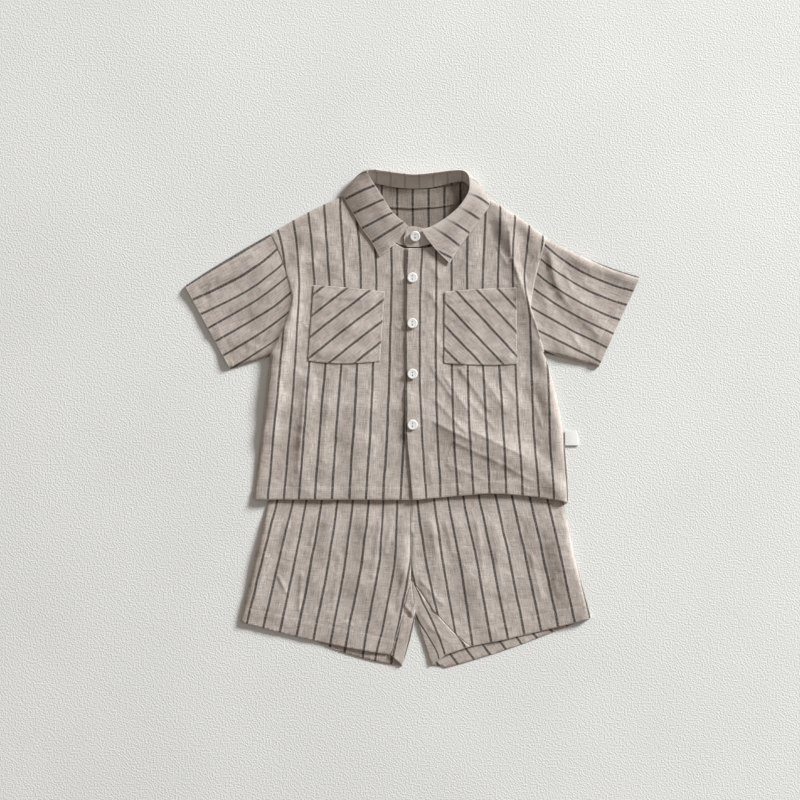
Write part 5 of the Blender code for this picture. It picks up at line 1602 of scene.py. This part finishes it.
def side_label(finish):
    """A short tape folded in two, slightly curled, sewn into the side seam and left bare."""
    width, height, thick = LABEL_SIZE
    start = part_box("side_label")[0].x / MM - LABEL_TUCK
    x = np.linspace(0.0, width + LABEL_TUCK, 22)
    y = np.linspace(LABEL_TOP - height, LABEL_TOP, 18)
    upper = thick + 0.25 * np.sin(x / width * math.pi) + 0.15
    skew = 1.0 - LABEL_SKEW * (y - y[0]) / height
    over = np.array([[(start + a * k, b, z) for b, k in zip(y, skew)] for a, z in zip(x, upper)])
    reach, end = width + LABEL_TUCK, upper[-1]
    edge = np.linspace(0.0, math.pi, 7)[1:-1]
    turn = np.array([
        [
            (start + reach * k + 0.45 * math.sin(t), b, (end + 0.3 + (end - 0.3) * math.cos(t)) / 2)
            for b, k in zip(y, skew)
        ]
        for t in edge
    ])
    under = np.array([[(start + a * k, b, 0.3) for b, k in zip(y, skew)] for a in x[::-1]])
    grid = np.concatenate([over, turn, under])
    uv = np.zeros((*grid.shape[:2], 2))
    piece = grid_wall("side_tape", grid, uv, finish, TAPE_THICK)
    dress(piece, "side_label", slot="label_tape")


def camera():
    data = bpy.data.cameras.new("camera")
    data.sensor_width = SENSOR
    data.lens = SENSOR * CAMERA_HEIGHT / (FRAME_WIDTH * MM)
    made = add_object("camera", data)
    made.location = (CAMERA_XY[0] * MM, CAMERA_XY[1] * MM, CAMERA_HEIGHT)
    bpy.context.scene.camera = made


def area_light(name, place, size, power, colour):
    data = bpy.data.lights.new(name, "AREA")
    data.size = size
    data.energy = power
    data.color = colour
    made = add_object(name, data)
    made.location = place
    made.rotation_euler = (-Vector(place)).to_track_quat("-Z", "Y").to_euler()


def studio():
    """A pale floor, a large soft light from the upper right and an even sky."""
    scene = bpy.context.scene
    scene.view_settings.view_transform = "Standard"
    world = bpy.data.worlds.new("studio")
    world.use_nodes = True
    sky = world.node_tree.nodes["Background"].inputs
    sky["Color"].default_value = SKY_COLOUR
    sky["Strength"].default_value = SKY_STRENGTH
    scene.world = world
    area_light("key", KEY_PLACE, KEY_SIZE, KEY_POWER, KEY_COLOUR)
    bpy.ops.mesh.primitive_plane_add(size=8.0, location=(0.0, 0.0, -0.0003))
    floor = bpy.context.object
    floor.name = "floor"
    floor.data.materials.append(floor_material())


def main():
    camera()
    studio()
    cloth = cloth_material("striped_linen")
    cloth_painted_shade = cloth_material("striped_linen_inside_painted_shade", INSIDE_PAINTED_SHADE)
    thread = plain_material("thread", THREAD_COLOUR, 0.8)
    white = plain_material("button_white", BUTTON_COLOUR, 0.5, 0.35, 0.05)
    button_thread = plain_material("button_thread", BUTTON_THREAD, 0.8)
    tape = plain_material("label_tape", LABEL_COLOUR, 0.85, 0.2, 0.3, 1500.0)
    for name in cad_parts:
        material = {"button": white, "side_l": tape}.get(name[:6], cloth)
        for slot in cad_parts[name].material_slots:
            slot.material = material
    shirt_back(cloth_painted_shade)
    pocket_r, pocket_l = POCKETS
    heights_r = shirt_front("shirt_front_right", FRONT_RIGHT, pocket_r, ROWS_FRONT_RIGHT, False, cloth)
    heights_l = shirt_front("shirt_front_left", FRONT_LEFT, pocket_l, ROWS_FRONT_LEFT, True, cloth)
    neck_facing(cloth_painted_shade)
    right, across_r = armhole_line(FRONT_RIGHT, ("shoulder_r", "armhole_r", "underarm_r"))
    left, across_l = armhole_line(FRONT_LEFT, ("underarm_l", "armhole_l", "shoulder_l"))
    cuffs = {side: (SHIRT[f"cuff_top_{side}"], SHIRT[f"cuff_low_{side}"]) for side in "rl"}
    sleeve("sleeve_right", "right", right, across_r, cuffs["r"], 101, heights_r, cloth)
    sleeve("sleeve_left", "left", left, across_l, cuffs["l"], 111, heights_l, cloth)
    collar_stand(cloth)
    collar_leaf(cloth)
    hem_r = (SHORTS["hem_side_r"], SHORTS["inseam_hem_r"])
    hem_l = (SHORTS["inseam_hem_l"], SHORTS["hem_side_l"])
    shorts_front("shorts_front_right", SHORTS_FRONT_RIGHT, ROWS_SHORTS_RIGHT, hem_r, cloth)
    shorts_front("shorts_front_left", SHORTS_FRONT_LEFT, ROWS_SHORTS_LEFT, hem_l, cloth)
    shorts_back("shorts_back_right", SHORTS_BACK_RIGHT, WRAP_RIGHT, ROWS_SHORTS_RIGHT, "right", cloth)
    shorts_back("shorts_back_left", SHORTS_BACK_LEFT, WRAP_LEFT, ROWS_SHORTS_LEFT, "left", cloth)
    waistband(cloth)
    for number, (x, y) in enumerate(BUTTONS, start=1):
        button(f"button_{number}", x, y, white, button_thread)
    buttonholes(heights_l)
    side_label(tape)
    stitch_object(thread)


main()
